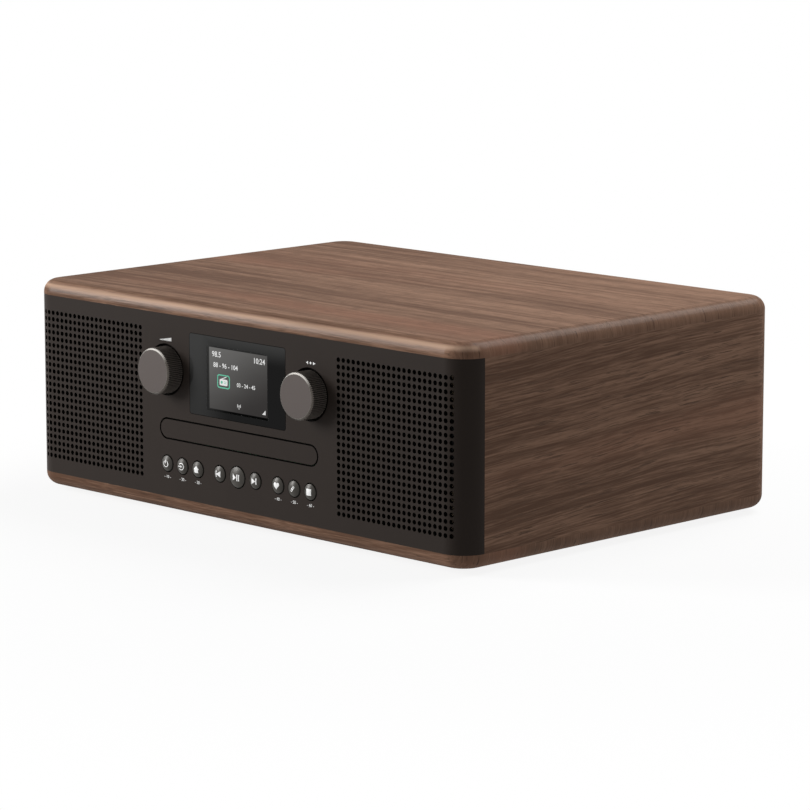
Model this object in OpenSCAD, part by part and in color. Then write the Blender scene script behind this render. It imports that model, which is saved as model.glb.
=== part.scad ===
// Tabletop radio with a disc player: wooden cabinet, wrapped front, two knobs, nine buttons,
// a disc tray with its loader, two speaker drivers and a folding rod aerial.
// X runs to the right, the front faces -Y and +Z is up. The feet stand on z = 0.

/* [Cabinet] */
// Overall width of the wooden body
body_w = 380; // [360:1:420]
// Depth of the wooden body
body_d = 274; // [268:1:320]
// Height of the wooden body without its feet
body_h = 131.6; // [130:0.1:150]
// Radius of the four upright corners
corner_r = 16.5; // [15:0.5:20]
// Radius of the rounded top and bottom edges
edge_r = 8; // [4:0.5:8.5]
// Thickness of the wooden boards
board_t = 9.1; // [8.8:0.1:11]
// Height of the rubber feet
foot_h = 3; // [2:0.5:8]
// Radius of a rubber foot
foot_r = 9; // [6:0.5:14]
// Distance of a foot's centre from the nearest sides
foot_inset = 32; // [24:1:60]

/* [Front panel] */
// Thickness of the front panel and the grilles
panel_t = 3; // [2.6:0.1:3.6]
// Width of the panel between the two grilles
panel_w = 165; // [164.5:0.5:167]
// Diameter of a grille hole
hole_d = 2.9; // [1.5:0.1:3.2]
// Distance between neighbouring grille holes
hole_pitch = 4.16; // [4:0.02:4.3]
// Plain band above and below the holes of a grille
grille_margin = 10.5; // [9:0.1:11]
// Number of hole columns round the corner of a grille
corner_columns = 2; // [0:1:3]
// Distance of the first hole column from the middle of the front
first_column = 87.5; // [87:0.1:88.5]

/* [Display] */
// Width of the display window
window_w = 84.6; // [70:0.2:88]
// Band between the top board and the display window
window_top = 9.5; // [6:0.1:16]
// Band between the tray's slot and the display window
window_foot = 5.3; // [3:0.1:10]
// Thickness of the display window
window_t = 1; // [1:0.1:1.8]
// Corner radius of the display window
window_r = 1.8; // [1:0.1:4]
// Width of the ledge that carries the window
window_ledge = 2; // [1:0.1:3]
// Width of the lit part of the screen
screen_w = 51.4; // [40:0.2:56]
// Band between the lit part of the screen and the window's upper and lower edges
screen_margin = 5.9; // [5.3:0.1:8]
// Height of the lit part's centre above the window's centre
screen_rise = -0.8; // [-1:0.1:1]
// Width of the metal rim round the lit part of the screen
screen_rim = 2.4; // [1:0.1:2.6]

/* [Knobs] */
// Radius of a knob
knob_r = 14.4; // [12:0.1:15.2]
// How far a knob stands out of the front
knob_out = 10.8; // [8:0.1:16]
// Distance of the volume knob's axis from the middle of the front
volume_x = 64.1; // [62:0.1:65]
// Distance of the select knob's axis from the middle of the front
select_x = 62.7; // [62:0.1:65]
// Height of a knob's axis above the bottom of the body
knob_z = 87.95; // [84:0.1:92]
// Number of ridges round a knob
knurl_count = 72; // [24:1:90]
// Depth of the grooves between the ridges
knurl_depth = 0.45; // [0.2:0.05:0.8]
// Width of the bright bevel at a knob's rim
knob_bevel = 1.1; // [0.4:0.1:1.2]
// Thickness of the inlaid face of a knob
knob_face_t = 1.2; // [0.8:0.1:2]
// Radius of the recess round a knob
recess_r = 16.1; // [15.6:0.1:16.6]
// Depth of the recess round a knob
recess_depth = 2; // [1:0.1:2.2]
// Radius of the encoder shafts
shaft_r = 3; // [2.5:0.1:3.2]
// Travel of the select knob when it is pushed
select_travel = 0.6; // [0.3:0.1:0.6]

/* [Buttons] */
// Radius of a small button cap
button_r = 4.75; // [4:0.05:5]
// Radius of the play button cap
play_r = 6.3; // [5:0.05:6.6]
// Width of the gap round a button cap
button_gap = 0.75; // [0.3:0.05:0.8]
// Height of a button's domed top
button_dome = 1.3; // [0.8:0.1:2]
// How far a button's side stands out of the front
button_out = 0.4; // [0.2:0.1:1]
// Travel of a button
button_travel = 0.6; // [0.3:0.1:0.6]
// Height of the button row above the bottom of the body
button_z = 29.7; // [28:0.1:32]
// Distance of the first buttons from the play button
button_x1 = 15.8; // [15:0.1:18]
// Distance of the second buttons from the play button
button_x2 = 35.6; // [34:0.1:36.5]
// Distance of the third buttons from the play button
button_x3 = 49.6; // [49:0.1:50]
// Distance of the outer buttons from the play button
button_x4 = 63.5; // [63:0.1:64.5]

/* [Disc tray] */
// Width of the tray's front flap
door_w = 138.4; // [136:0.2:142]
// Height of the tray's front flap
door_h = 11.4; // [10.8:0.1:13]
// Thickness of the tray's front flap
door_t = 3; // [2:0.1:3.5]
// Gap round the tray's front flap
door_gap = 1.1; // [0.4:0.05:1.1]
// Height of the tray's centre line above the bottom of the body
tray_z = 51.6; // [51:0.1:53]
// Width of the tray
tray_w = 128; // [126:0.5:130]
// Length of the tray
tray_l = 180; // [176:1:184]
// Height of the tray
tray_h = 9; // [8.6:0.1:9.4]
// Radius of the recess for a disc
disc_r = 60.5; // [60:0.1:61]
// Depth of the recess for a disc
disc_depth = 4.5; // [4.3:0.1:5]
// Width of the rim in front of the disc
disc_rim = 8; // [6:0.5:10]
// Travel of the tray
tray_travel = 132; // [100:1:134]

/* [Speakers] */
// Distance of a driver's axis from the middle of the front
speaker_x = 131; // [130:0.5:136]
// Outer radius of a driver's rim
speaker_r = 39; // [34:0.5:41]
// Radius of the hole for a driver in the baffle
speaker_hole_r = 35; // [33:0.5:36]
// Thickness of the baffle board
baffle_t = 9; // [6:0.5:10]
// Travel of a cone each way
cone_travel = 2; // [0.5:0.1:2.5]

/* [Aerial] */
// Distance of the aerial's socket from the middle of the back
aerial_x = 150; // [120:1:160]
// Distance of the aerial's socket below the top of the body
aerial_drop = 29.6; // [22:0.1:48]
// Outer radius of the aerial's sleeve
sleeve_r = 3.5; // [3:0.1:4]
// Length of the aerial's sleeve
sleeve_l = 165; // [165:1:200]
// Radius of the aerial's inner rod
rod_r = 2; // [1.5:0.1:2.4]
// Travel of the aerial's inner rod
rod_travel = 150; // [60:1:150]

/* [Clearances] */
// Gap between flat pieces that move past each other
slide_gap = 0.3; // [0.2:0.05:0.5]
// Radial gap of a turning shaft in its bearing
shaft_gap = 0.06; // [0.02:0.01:0.1]
// Radial gap of a screw or pin in a hole of its own body
screw_gap = 0.05; // [0.02:0.01:0.1]
// Play between gear teeth
gear_play = 0.16; // [0.1:0.02:0.24]

/* [Hidden] */
$fn = 64;
eps = 0.01;

wood_colour = "#6b4a35";
panel_colour = "#37332f";
metal_colour = "#6c6461";
board_colour = "#1f5a3a";
steel_colour = "#b9bcc0";
black_colour = "#1c1b1a";

// Aerial parts behind the back
back_recess = 2;
socket_flange_t = 2;
socket_flange_r = 7;
socket_tail_l = 6;
socket_nut_r = 5;
socket_nut_t = 2.5;
socket_barrel_r = 4.7;
socket_barrel_l = 5;
socket_stub_l = 4;
socket_stub_r = 2.5;
knuckle_r = 5.5;
knuckle_l = 14;
knuckle_pin_back = 4;
knuckle_pin_r = 1.5;
knuckle_pin_l = 8.6;
knuckle_slot = 3.2;
tongue_r = 3.2;
tongue_l = 7;
back_out = socket_flange_t - back_recess + socket_barrel_l + slide_gap + knuckle_l;

// Planes of the body, with the origin under the middle of everything
front_y = (knob_out - back_out - body_d) / 2;
back_y = front_y + body_d;
middle_y = front_y + body_d / 2;
low_z = foot_h + board_t;
high_z = foot_h + body_h - board_t;
side_x = body_w / 2;
inner_x = side_x - board_t;
flat_x = side_x - corner_r;

// Grilles
hole_rows = floor((high_z - low_z - 2 * grille_margin) / hole_pitch) + 1;
hole_columns = floor((flat_x - first_column) / hole_pitch) + 1;

// Display window and screen, in heights above the bottom of the body
window_low = tray_z + door_h / 2 + door_gap + window_foot;
window_high = body_h - board_t - window_top;
window_h = window_high - window_low;
window_z = (window_low + window_high) / 2;
screen_h = window_h - 2 * screen_margin;
screen_z = window_z + screen_rise;

// Front panel and the circuit board on its stakes
recess_boss = 2;
recess_boss_wall = 1.5;
board_seat = 12;
board_margin = 1;
circuit_t = 1.6;
stake_r = 1.4;
stake_boss_r = 3;
stake_tip = 1;
stake_x = 77;
stake_inset = 5;
slot_side = 3;
slot_rise = 2.5;
plug_w = 30;
plug_h = 6;
plug_t = 5;
plug_drop = 14;
window_gap = 0.3;
screen_recess = 0.1;

// Knobs and their encoders
knob_back_gap = 0.7;
knob_front_t = 5;
knob_wall = 2.8;
knob_hub_wall = 2.2;
knob_hub_gap = 1.5;
knob_bore_start = 3;
face_seat = 0.3;
knob_back_bevel = 0.5;
bushing_r = shaft_r + 0.5;
case_w = 12.5;
case_gap = 1;
case_back_t = 1.2;
shaft_start = knob_bore_start + 0.2;
shaft_flat = 1;
shaft_flat_l = 7;
shaft_end_gap = 0.3;
plunger_t = 1;
plunger_gap = 0.1;
plunger_y = front_y + board_seat - case_back_t - plunger_t - select_travel - plunger_gap;

// Buttons and their switches
flange_t = 1;
flange_lip = 1.1;
stem_r = 1.6;
dome_seam = 0.02;
switch_w = 6;
switch_h = 2.2;
switch_y = 9.2;

// Baffle
baffle_y = front_y + corner_r;
baffle_opening_w = 164;
baffle_rim = 4;
driver_rim_t = 2;

// Disc tray and loader
tray_mid = foot_h + tray_z;
tray_low = tray_mid - tray_h / 2;
tray_top = tray_mid + tray_h / 2;
tray_front = front_y + door_t;
disc_y = tray_front + disc_rim + disc_r;
small_disc_r = 40.5;
small_disc_depth = 1.2;
tray_slot_w = 38;
tray_slot_l = 70;
rack_h = 4;
rack_cut = 6;
rack_start = 20;
rack_before = 6;
rack_headroom = 1.8;
wall_gap = 0.6;
wall_t = 3;
baffle_gap = 4.5;
tray_tail = 17;
loader_room = 29.4;
flange_w = 6;
plate_t = 2;
plate_drop = 22.1;
plate_z = tray_mid - plate_drop;
wall_x = tray_w / 2 + wall_gap;
chassis_front = front_y + corner_r + baffle_t + baffle_gap;
chassis_back = tray_front + tray_l + tray_tail;
chassis_left = -wall_x - wall_t - loader_room;
chassis_right = wall_x + wall_t + flange_w;
ledge_w = 7;
ledge_end = 10;
ledge_t = 2;
ledge_edge = 3;
post_r = 5;
post_inset = 8;
post_hole_r = 1.3;
post_hole_l = 9;
web_l = 8;
web_inset = 60;
wheel_gap = 2;
axle_cap = 1;

// Loading gears: rack and pinion of one module, reduction gears of another
rack_module = 1;
rack_after = round(tray_travel / PI / rack_module) + 2;
pinion_teeth = 20;
pinion_pitch_r = rack_module * pinion_teeth / 2;
drive_module = 0.8;
wheel_teeth = 45;
small_teeth = 15;
gear_spread = 0.1;
gear_inset = 12;
rack_pitch_x = -tray_w / 2 + 0.8 * rack_module;
gear_x = rack_pitch_x - pinion_pitch_r - gear_spread;
gear_y = chassis_front + gear_inset;
drive_distance = drive_module * (wheel_teeth + small_teeth) / 2 + gear_spread;
pulley_dx = -10.4;
pulley_dy = sqrt(drive_distance * drive_distance - pulley_dx * pulley_dx);
pulley_x = gear_x + pulley_dx;
pulley_y = gear_y + pulley_dy;
pulley_angle = atan2(pulley_dy, pulley_dx);
pulley_r = 11;
pulley_groove_r = 10;
belt_distance = 31;
motor_pulley_r = 4;
motor_groove_r = 3;
belt_t = 1;
belt_h = 1.6;
belt_steps = 24;
axle_r = 2;
wheel_rise = 9.5;
wheel_low = plate_z + wheel_rise;
wheel_h = 3;
pulley_rise = 3.5;
pulley_low = plate_z + pulley_rise;
pulley_h = 4;
motor_r = 12;
motor_h = 18;
motor_shaft_r = 1;
motor_boss_r = 2.5;
motor_boss_h = 1;
shaft_hole_gap = 0.5;
shaft_depth = 3;
hub_r = 5;
pulley_hub_r = 4;

// Player deck, drawn level as when it is lifted, then lowered about its hinge
deck_angle = 6.6;
hinge_back = 96.5;
hinge_rise = 9.5;
hinge_y = disc_y + hinge_back;
hinge_z = plate_z + hinge_rise;
deck_half_w = 42;
deck_t = 2;
deck_top = hinge_z + deck_t / 2;
deck_nose = 26;
deck_front = disc_y - deck_nose;
deck_gap = 4;
deck_opening = deck_half_w + 2.5;
hinge_pin_r = 2;
arm_w = 6;
arm_l = 12;
lug_t = 4;
lug_r = 5.5;
table_r = 15;
table_t = 2;
table_neck_r = 6;
table_gap = 1;
table_drop = 0.9;
table_top = tray_top - table_drop;
table_cone_r = 7.3;
table_cone_top_r = 5.8;
table_cone_h = 2;
deck_motor_r = 12;
sled_motor_r = 8;
deck_motor_h = 10;
rod_x = 20;
rod_rise = 3.5;
rod_z = deck_top + rod_rise;
rod_boss_w = 5;
rod_boss_t = 3;
guide_r = 1.5;
sled_start = 26;
sled_y = disc_y + sled_start;
sled_l = 20;
sled_margin = 3;
sled_travel = 36;
sled_room = 15;
guide_front = sled_y - sled_l / 2 - 4;
guide_back = sled_y + sled_l / 2 + sled_travel + sled_room;
lens_y = sled_y - 2;
sled_module = 0.8;
sled_teeth = 15;
sled_pitch_r = sled_module * sled_teeth / 2;
sled_rack_x = 27;
sled_gear_x = sled_rack_x + sled_pitch_r + gear_spread;
sled_gear_y = disc_y + 50;
sled_gear_rise = 1.3;
sled_gear_low = deck_top + sled_gear_rise;
sled_gear_h = 3.4;
sled_rack_before = 15;
sled_lift = 1;
sled_t = 5;
lens_block_w = 14;
lens_block_h = 5;
lens_r = 3;
lens_h = 1.6;

// Bridge with the puck that presses a disc on the table
bridge_low = tray_top + 2.1;
bridge_t = 2.5;
bridge_half_d = 20;
puck_r = 12;
puck_gap = 0.5;

// Electronics and sockets at the back
electronics_gap = 6;
electronics_y = chassis_back + electronics_gap;
electronics_back = back_y - back_recess - panel_t;
standoff_h = 8;
standoff_r = 3;
standoff_inset = 5;
board_gap = 2;
main_left = 20;
main_edge = 16;
main_right = inner_x - main_edge;
sink_inset = 8;
sink_w = 34;
sink_share = 0.2;
sink_base = 3;
sink_fins = 9;
fin_t = 1.6;
fin_h = 18;
tuner_inset = 6;
tuner_w = 34;
tuner_share = 0.41;
tuner_h = 7;
capacitor_x = 60;
capacitor_step = 13;
capacitor_r = 5;
capacitor_h = 14;
chip_x = 50;
chip_w = 16;
chip_t = 1.4;
supply_edge = 14;
supply_left = supply_edge - inner_x;
supply_right = -44;
inlet_room = 18;
transformer_inset = 14;
transformer_w = 32;
transformer_share = 0.58;
transformer_h = 24;
reservoir_x = 62;
reservoir_share = 0.2;
reservoir_h = 26;
cooler_t = 2;
cooler_h = 22;
fuse_x = 54;
fuse_l = 8;
fuse_h = 10;
jack_r = 1.8;
jack_l = 14;
jack_collar_r = 3.4;
jack_x = 92;
jack_spacing = 20;
inlet_x = -120;
inlet_pin_spacing = 8.6;
inlet_rise = 22;
inlet_z = low_z + inlet_rise;
inlet_w = 17;
inlet_h = 9;
inlet_wall = 1.5;
inlet_depth = 13;
inlet_pin_r = 1.2;
inlet_pin_sunk = 2;
inlet_floor = 3;
inlet_lip = 3;
jack_rise = 8;
jack_half_w = 4.5;
jack_body_l = 12;
jack_collar_out = 0.6;
vent_w = 2.4;
vent_h = 9;
vent_columns = 13;
vent_rows = 3;
vent_step_x = 8;
vent_step_z = 13;
vent_rise = 60;
vent_z = low_z + vent_rise;

// Aerial's knuckle
aerial_z = body_h - aerial_drop;
knuckle_y = back_y - back_recess + socket_flange_t + socket_barrel_l + slide_gap;
knuckle_pin_y = knuckle_y + knuckle_l - knuckle_pin_back;
sleeve_end_t = 8;
rod_grip = 6.5;
rod_cap_l = 5;

// Speaker drivers, in depths behind the front of the baffle
basket_h = 28;
magnet_r = 26;
magnet_h = 12;
back_plate_t = 3;
coil_r = 9;
cone_h = 17;
coil_start = cone_h - 1.2;
coil_l = basket_h + magnet_h - cone_travel - 1 - coil_start;
surround_w = 6;

// Places that pieces share
stake_places = [for (x = [-1, 1], z = [low_z + stake_inset, high_z - stake_inset]) [x * stake_x, z]];
knob_places = [[-volume_x, foot_h + knob_z], [select_x, foot_h + knob_z]];
button_steps = [-button_x4, -button_x3, -button_x2, -button_x1, button_x1, button_x2, button_x3, button_x4];
screw_inset = 9;
screw_mid_x = 60;
screw_xs = [screw_inset - flat_x, -screw_mid_x, screw_mid_x, flat_x - screw_inset];
screw_r = 1.3;
screw_head_r = 2.2;
screw_l = 14;
back_border = 5;

// ---- Shared shapes ----

// Upright plate in the XZ plane: its front face lies at y, and children are drawn in X and Z
module upright(y, t) {
    translate([0, y + t, 0])
        rotate([90, 0, 0])
            linear_extrude(t)
                children();
}

// Rod along Y from y
module rod(x, y, z, r, l) {
    translate([x, y, z])
        rotate([-90, 0, 0])
            cylinder(r = r, h = l);
}

module stadium(w, h) {
    square([w - h, h], center = true);
    for (side = [-1, 1])
        translate([side * (w - h) / 2, 0])
            circle(h / 2);
}

module soft_rectangle(w, h, r) {
    square([w - 2 * r, h], center = true);
    square([w, h - 2 * r], center = true);
    for (x = [-1, 1], y = [-1, 1])
        translate([x * (w / 2 - r), y * (h / 2 - r)])
            circle(r);
}

// Quarter of a ring, between +X and +Y
module quarter_ring(r, t) {
    intersection() {
        difference() {
            circle(r);
            circle(r - t);
        }
        square(r);
    }
}

// Involute gear: half the angle that a tooth takes at radius r
function involute_angle(a) = tan(a) * 180 / PI - a;
function half_tooth(r, pitch_r, teeth) =
    90 / teeth - gear_play / 2 / pitch_r * 180 / PI
    + involute_angle(20) - involute_angle(acos(min(1, pitch_r * cos(20) / r)));
function tooth_radii(pitch_r, m) =
    [pitch_r - 1.2 * m, pitch_r * cos(20), pitch_r - 0.1 * m, pitch_r + 0.35 * m, pitch_r + 0.8 * m];
function flank(radii, pitch_r, teeth, centre, side) =
    [for (r = side < 0 ? radii : [for (i = [len(radii) - 1:-1:0]) radii[i]])
        let (a = centre + side * half_tooth(max(r, pitch_r * cos(20)), pitch_r, teeth))
        [r * cos(a), r * sin(a)]];
function sorted_radii(pitch_r, m) = [for (r = tooth_radii(pitch_r, m)) if (r >= pitch_r - 1.2 * m) r];

module gear_shape(m, teeth, phase) {
    pitch_r = m * teeth / 2;
    radii = sorted_radii(pitch_r, m);
    polygon([for (i = [0:teeth - 1], side = [-1, 1])
        each flank(radii, pitch_r, teeth, phase + i * 360 / teeth, side)]);
}

// Rack along Y with its pitch line on x = 0 and its teeth towards +X: count teeth each way of y = 0
module rack_shape(m, before, after, back) {
    half = PI * m / 4 - gear_play / 2;
    lean = m * tan(20);
    polygon(concat(
        [[-back, (after + 0.5) * PI * m], [-back, -(before + 0.5) * PI * m]],
        [for (i = [-before:after], p = [[-1.1, -half - 1.1 * lean], [0.8, -half + 0.8 * lean],
                                        [0.8, half - 0.8 * lean], [-1.1, half + 1.1 * lean]])
            [p[0] * m, i * PI * m + p[1]]]));
}

// ---- Cabinet ----

// Section of a board from its middle to its rounded edge, on x = 0 .. half
module board_section(half) {
    square([half - edge_r, board_t]);
    square([half, board_t - edge_r]);
    intersection() {
        square([half, board_t]);
        translate([half - edge_r, board_t - edge_r])
            circle(edge_r);
    }
}

// Board lying on z = 0 with its upper edges rounded, centred on the body
module cabinet_board() {
    translate([0, middle_y, 0]) {
        for (side = [0, 180])
            rotate(side) {
                rotate([90, 0, 90])
                    linear_extrude(body_w - 2 * corner_r, center = true)
                        board_section(body_d / 2);
                rotate([90, 0, 0])
                    linear_extrude(body_d - 2 * corner_r, center = true)
                        board_section(body_w / 2);
                translate([body_w / 2 - corner_r, body_d / 2 - corner_r, 0])
                    rotate_extrude(angle = 90)
                        board_section(corner_r);
                translate([corner_r - body_w / 2, body_d / 2 - corner_r, 0])
                    rotate(90)
                        rotate_extrude(angle = 90)
                            board_section(corner_r);
            }
    }
}

// Rebate and pilot holes for the back, in the board's own heights with its inner face on z = 0
module back_rebate() {
    translate([-flat_x, back_y - back_recess - panel_t, -1])
        cube([2 * flat_x, back_recess + panel_t + 1, back_border + 1]);
    for (x = screw_xs)
        rod(x, back_y - back_recess - screw_l, back_border / 2, screw_r + screw_gap, screw_l);
}

module top_board() {
    color(wood_colour)
        translate([0, 0, high_z])
            difference() {
                cabinet_board();
                back_rebate();
            }
}

module base_board() {
    color(wood_colour)
        translate([0, 0, low_z])
            mirror([0, 0, 1])
                difference() {
                    cabinet_board();
                    back_rebate();
                }
}

module side_board(side) {
    color(wood_colour)
        translate([0, 0, low_z])
            mirror([side < 0 ? 1 : 0, 0, 0])
                linear_extrude(high_z - low_z) {
                    translate([inner_x, front_y + corner_r])
                        square([board_t, body_d - 2 * corner_r]);
                    translate([flat_x, back_y - corner_r])
                        quarter_ring(corner_r, board_t);
                }
}

module side_board_left() { side_board(-1); }
module side_board_right() { side_board(1); }

module rear_panel() {
    color(black_colour)
        difference() {
            upright(back_y - back_recess - panel_t, panel_t)
                translate([-flat_x, low_z - back_border])
                    square([2 * flat_x, high_z - low_z + 2 * back_border]);
            for (x = screw_xs, z = [low_z - back_border / 2, high_z + back_border / 2])
                rod(x, electronics_back - 1, z, screw_r + screw_gap, panel_t + 2);
            for (i = [0, 1])
                rod(jack_x + i * jack_spacing, electronics_back - 1, low_z + standoff_h + jack_rise,
                    jack_collar_r + screw_gap, panel_t + 2);
            rod(aerial_x, electronics_back - 1, foot_h + aerial_z, socket_stub_r + screw_gap, panel_t + 2);
            upright(electronics_back - 1, panel_t + 2)
                translate([inlet_x, inlet_z])
                    stadium(inlet_w + 2 * screw_gap, inlet_h + 2 * screw_gap);
            for (i = [0:vent_columns - 1], j = [0:vent_rows - 1])
                upright(electronics_back - 1, panel_t + 2)
                    translate([(i - (vent_columns - 1) / 2) * vent_step_x, vent_z + j * vent_step_z])
                        rotate(90)
                            stadium(vent_h, vent_w);
        }
}

module rear_screws() {
    color(steel_colour)
        for (x = screw_xs, z = [low_z - back_border / 2, high_z + back_border / 2]) {
            rod(x, back_y - back_recess - screw_l + 0.5, z, screw_r, screw_l - 0.5 + eps);
            rod(x, back_y - back_recess, z, screw_head_r, 1.2);
        }
}

module rubber_feet() {
    color(black_colour)
        for (x = [-1, 1], y = [front_y + foot_inset, back_y - foot_inset])
            translate([x * (side_x - foot_inset), y, 0]) {
                cylinder(r1 = foot_r - 0.8, r2 = foot_r, h = 0.8);
                translate([0, 0, 0.8])
                    cylinder(r = foot_r, h = foot_h - 0.8);
            }
}

// ---- Front ----

// Column x of the grille's holes, measured along its surface; past flat_x it goes round the corner
function column_run(i) = first_column + i * hole_pitch;
function row_z(j) = foot_h + body_h / 2 + (j - (hole_rows - 1) / 2) * hole_pitch;

module front_panel() {
    color(panel_colour)
        difference() {
            union() {
                upright(front_y, panel_t)
                    translate([-panel_w / 2, low_z])
                        square([panel_w, high_z - low_z]);
                for (p = knob_places)
                    rod(p[0], front_y + panel_t, p[1], recess_r + recess_boss_wall, recess_boss);
                for (p = stake_places) {
                    rod(p[0], front_y + panel_t, p[1], stake_boss_r, board_seat - panel_t);
                    rod(p[0], front_y + board_seat, p[1], stake_r, circuit_t + stake_tip);
                }
            }
            for (p = knob_places) {
                rod(p[0], front_y - 1, p[1], recess_r, recess_depth + 1);
                rod(p[0], front_y, p[1], bushing_r + screw_gap, panel_t + recess_boss + 1);
            }
            upright(front_y - 1, window_t + 1)
                translate([0, foot_h + window_z])
                    soft_rectangle(window_w + 2 * window_gap, window_h + 2 * window_gap, window_r);
            upright(front_y, panel_t + 1)
                translate([0, foot_h + window_z])
                    square([window_w - 2 * window_ledge, window_h - 2 * window_ledge], center = true);
            upright(front_y - 1, panel_t + 2)
                translate([0, tray_mid])
                    stadium(door_w + 2 * door_gap, door_h + 2 * door_gap);
            for (x = button_steps)
                rod(x, front_y - 1, foot_h + button_z, button_r + button_gap, panel_t + 2);
            rod(0, front_y - 1, foot_h + button_z, play_r + button_gap, panel_t + 2);
        }
}

// Grille on the right; the left one is its mirror image
module grille(side) {
    last_flat = hole_columns - 1;
    color(panel_colour)
        mirror([side < 0 ? 1 : 0, 0, 0]) {
            upright(front_y, panel_t)
                difference() {
                    translate([panel_w / 2, low_z])
                        square([flat_x - panel_w / 2, high_z - low_z]);
                    for (i = [0:last_flat], j = [0:hole_rows - 1])
                        translate([column_run(i), row_z(j)])
                            circle(d = hole_d, $fn = 24);
                }
            translate([flat_x, front_y + corner_r, 0])
                difference() {
                    translate([0, 0, low_z])
                        linear_extrude(high_z - low_z)
                            mirror([0, 1])
                                quarter_ring(corner_r, panel_t);
                    for (i = [1:1:corner_columns], j = [0:hole_rows - 1])
                        translate([0, 0, row_z(j)])
                            rotate((column_run(last_flat + i) - flat_x) / corner_r * 180 / PI)
                                rod(0, -corner_r - 1, 0, hole_d / 2, panel_t + 2, $fn = 24);
                }
        }
}

module grille_left() { grille(-1); }
module grille_right() { grille(1); }

module speaker_baffle() {
    color("#8a7357")
        upright(baffle_y, baffle_t)
            difference() {
                translate([-inner_x, low_z])
                    square([2 * inner_x, high_z - low_z]);
                translate([-baffle_opening_w / 2, low_z + baffle_rim])
                    square([baffle_opening_w, high_z - low_z - 2 * baffle_rim]);
                for (x = [-speaker_x, speaker_x])
                    translate([x, foot_h + body_h / 2])
                        circle(speaker_hole_r);
            }
}

module display_window() {
    color(black_colour, 0.6)
        upright(front_y, window_t)
            translate([0, foot_h + window_z])
                soft_rectangle(window_w, window_h, window_r - window_gap);
}

// Screen in its metal frame, between the window and the circuit board
module lcd_module() {
    outer_w = screen_w + 2 * screen_rim;
    outer_h = screen_h + 2 * screen_rim;
    color("#55585c")
        difference() {
            upright(front_y + window_t, board_seat - window_t)
                translate([0, foot_h + screen_z])
                    square([outer_w, outer_h], center = true);
            upright(front_y + window_t - 1, screen_recess + 1)
                translate([0, foot_h + screen_z])
                    square([screen_w, screen_h], center = true);
        }
}

// Upright circuit board behind the front, with a slot for the tray and one switch behind each button
module front_board() {
    slot_w = tray_w + 2 * slot_side;
    slot_h = tray_h + 2 * slot_rise;
    color(board_colour)
        difference() {
            union() {
                upright(front_y + board_seat, circuit_t)
                    translate([board_margin - panel_w / 2, low_z + board_margin])
                        square([panel_w - 2 * board_margin, high_z - low_z - 2 * board_margin]);
                for (x = concat(button_steps, [0])) {
                    upright(front_y + board_seat - switch_h, switch_h)
                        translate([x, foot_h + button_z])
                            square(switch_w, center = true);
                    rod(x, front_y + switch_y, foot_h + button_z, stem_r, board_seat - switch_y);
                }
                upright(front_y + board_seat + circuit_t, plug_t)
                    translate([-plug_w / 2, high_z - plug_drop])
                        square([plug_w, plug_h]);
            }
            upright(front_y + board_seat - 1, circuit_t + 2)
                translate([0, tray_mid])
                    square([slot_w, slot_h], center = true);
            for (p = stake_places)
                rod(p[0], front_y + board_seat - 1, p[1], stake_r + screw_gap, circuit_t + 2);
        }
}

// ---- Knobs ----

// Ridged outline of a knob, with each groove as a notch between two ridges
module knurl_outline() {
    step = 360 / knurl_count;
    polygon([for (i = [0:knurl_count - 1], k = [0:3])
        let (r = k < 2 ? knob_r : knob_r - knurl_depth)
        let (a = i * step + step * [0, 0.4, 0.6, 0.8][k])
        [r * cos(a), r * sin(a)]]);
}

// Knob with its axis along Y at the place p: ridged skirt, bevelled rim and recess for the face
module knob_body(p) {
    length = knob_out + recess_depth - knob_back_gap;
    color("#4b4644")
        translate([p[0], front_y - knob_out, p[1]])
            rotate([-90, 0, 0])
                difference() {
                    intersection() {
                        linear_extrude(length)
                            knurl_outline();
                        union() {
                            cylinder(r1 = knob_r - knob_bevel, r2 = knob_r + eps, h = knob_bevel, $fn = 96);
                            translate([0, 0, knob_bevel])
                                cylinder(r = knob_r + 1, h = length - knob_bevel - knob_back_bevel);
                            translate([0, 0, length - knob_back_bevel])
                                cylinder(r1 = knob_r + eps, r2 = knob_r - knob_back_bevel, h = knob_back_bevel,
                                    $fn = 96);
                        }
                    }
                    translate([0, 0, -1])
                        cylinder(r = knob_r - knob_bevel - face_seat, h = knob_face_t + 1);
                    translate([0, 0, knob_front_t])
                        difference() {
                            cylinder(r = knob_r - knob_wall, h = length);
                            cylinder(r = shaft_r + knob_hub_wall, h = length - knob_front_t - knob_hub_gap);
                        }
                    translate([0, 0, knob_bore_start])
                        cylinder(r = shaft_r + screw_gap, h = length);
                }
}

module knob_face(p) {
    color(metal_colour)
        rod(p[0], front_y - knob_out, p[1], knob_r - knob_bevel - face_seat - screw_gap,
            knob_face_t);
}

// Encoder: a square case on the circuit board and a threaded bushing with its nut in the panel
module encoder(p) {
    case_y = front_y + panel_t + recess_boss + case_gap;
    color("#7c7f83")
        difference() {
            union() {
                upright(case_y, front_y + board_seat - case_y)
                    translate(p)
                        square(case_w, center = true);
                rod(p[0], front_y + recess_depth - 1, p[1], bushing_r, case_y - front_y - recess_depth + 1);
            }
            rod(p[0], front_y - 1, p[1], shaft_r + shaft_gap, board_seat + 1 - case_back_t);
        }
}

// Encoder shaft with a flat, from inside its case to inside the knob
module encoder_shaft(p, back) {
    start = front_y - knob_out + shaft_start;
    color(steel_colour)
        difference() {
            rod(p[0], start, p[1], shaft_r, back - start);
            translate([p[0] - shaft_r, start - 1, p[1] + shaft_r - shaft_flat])
                cube([2 * shaft_r, shaft_flat_l + 1, 2 * shaft_flat]);
        }
}

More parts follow.
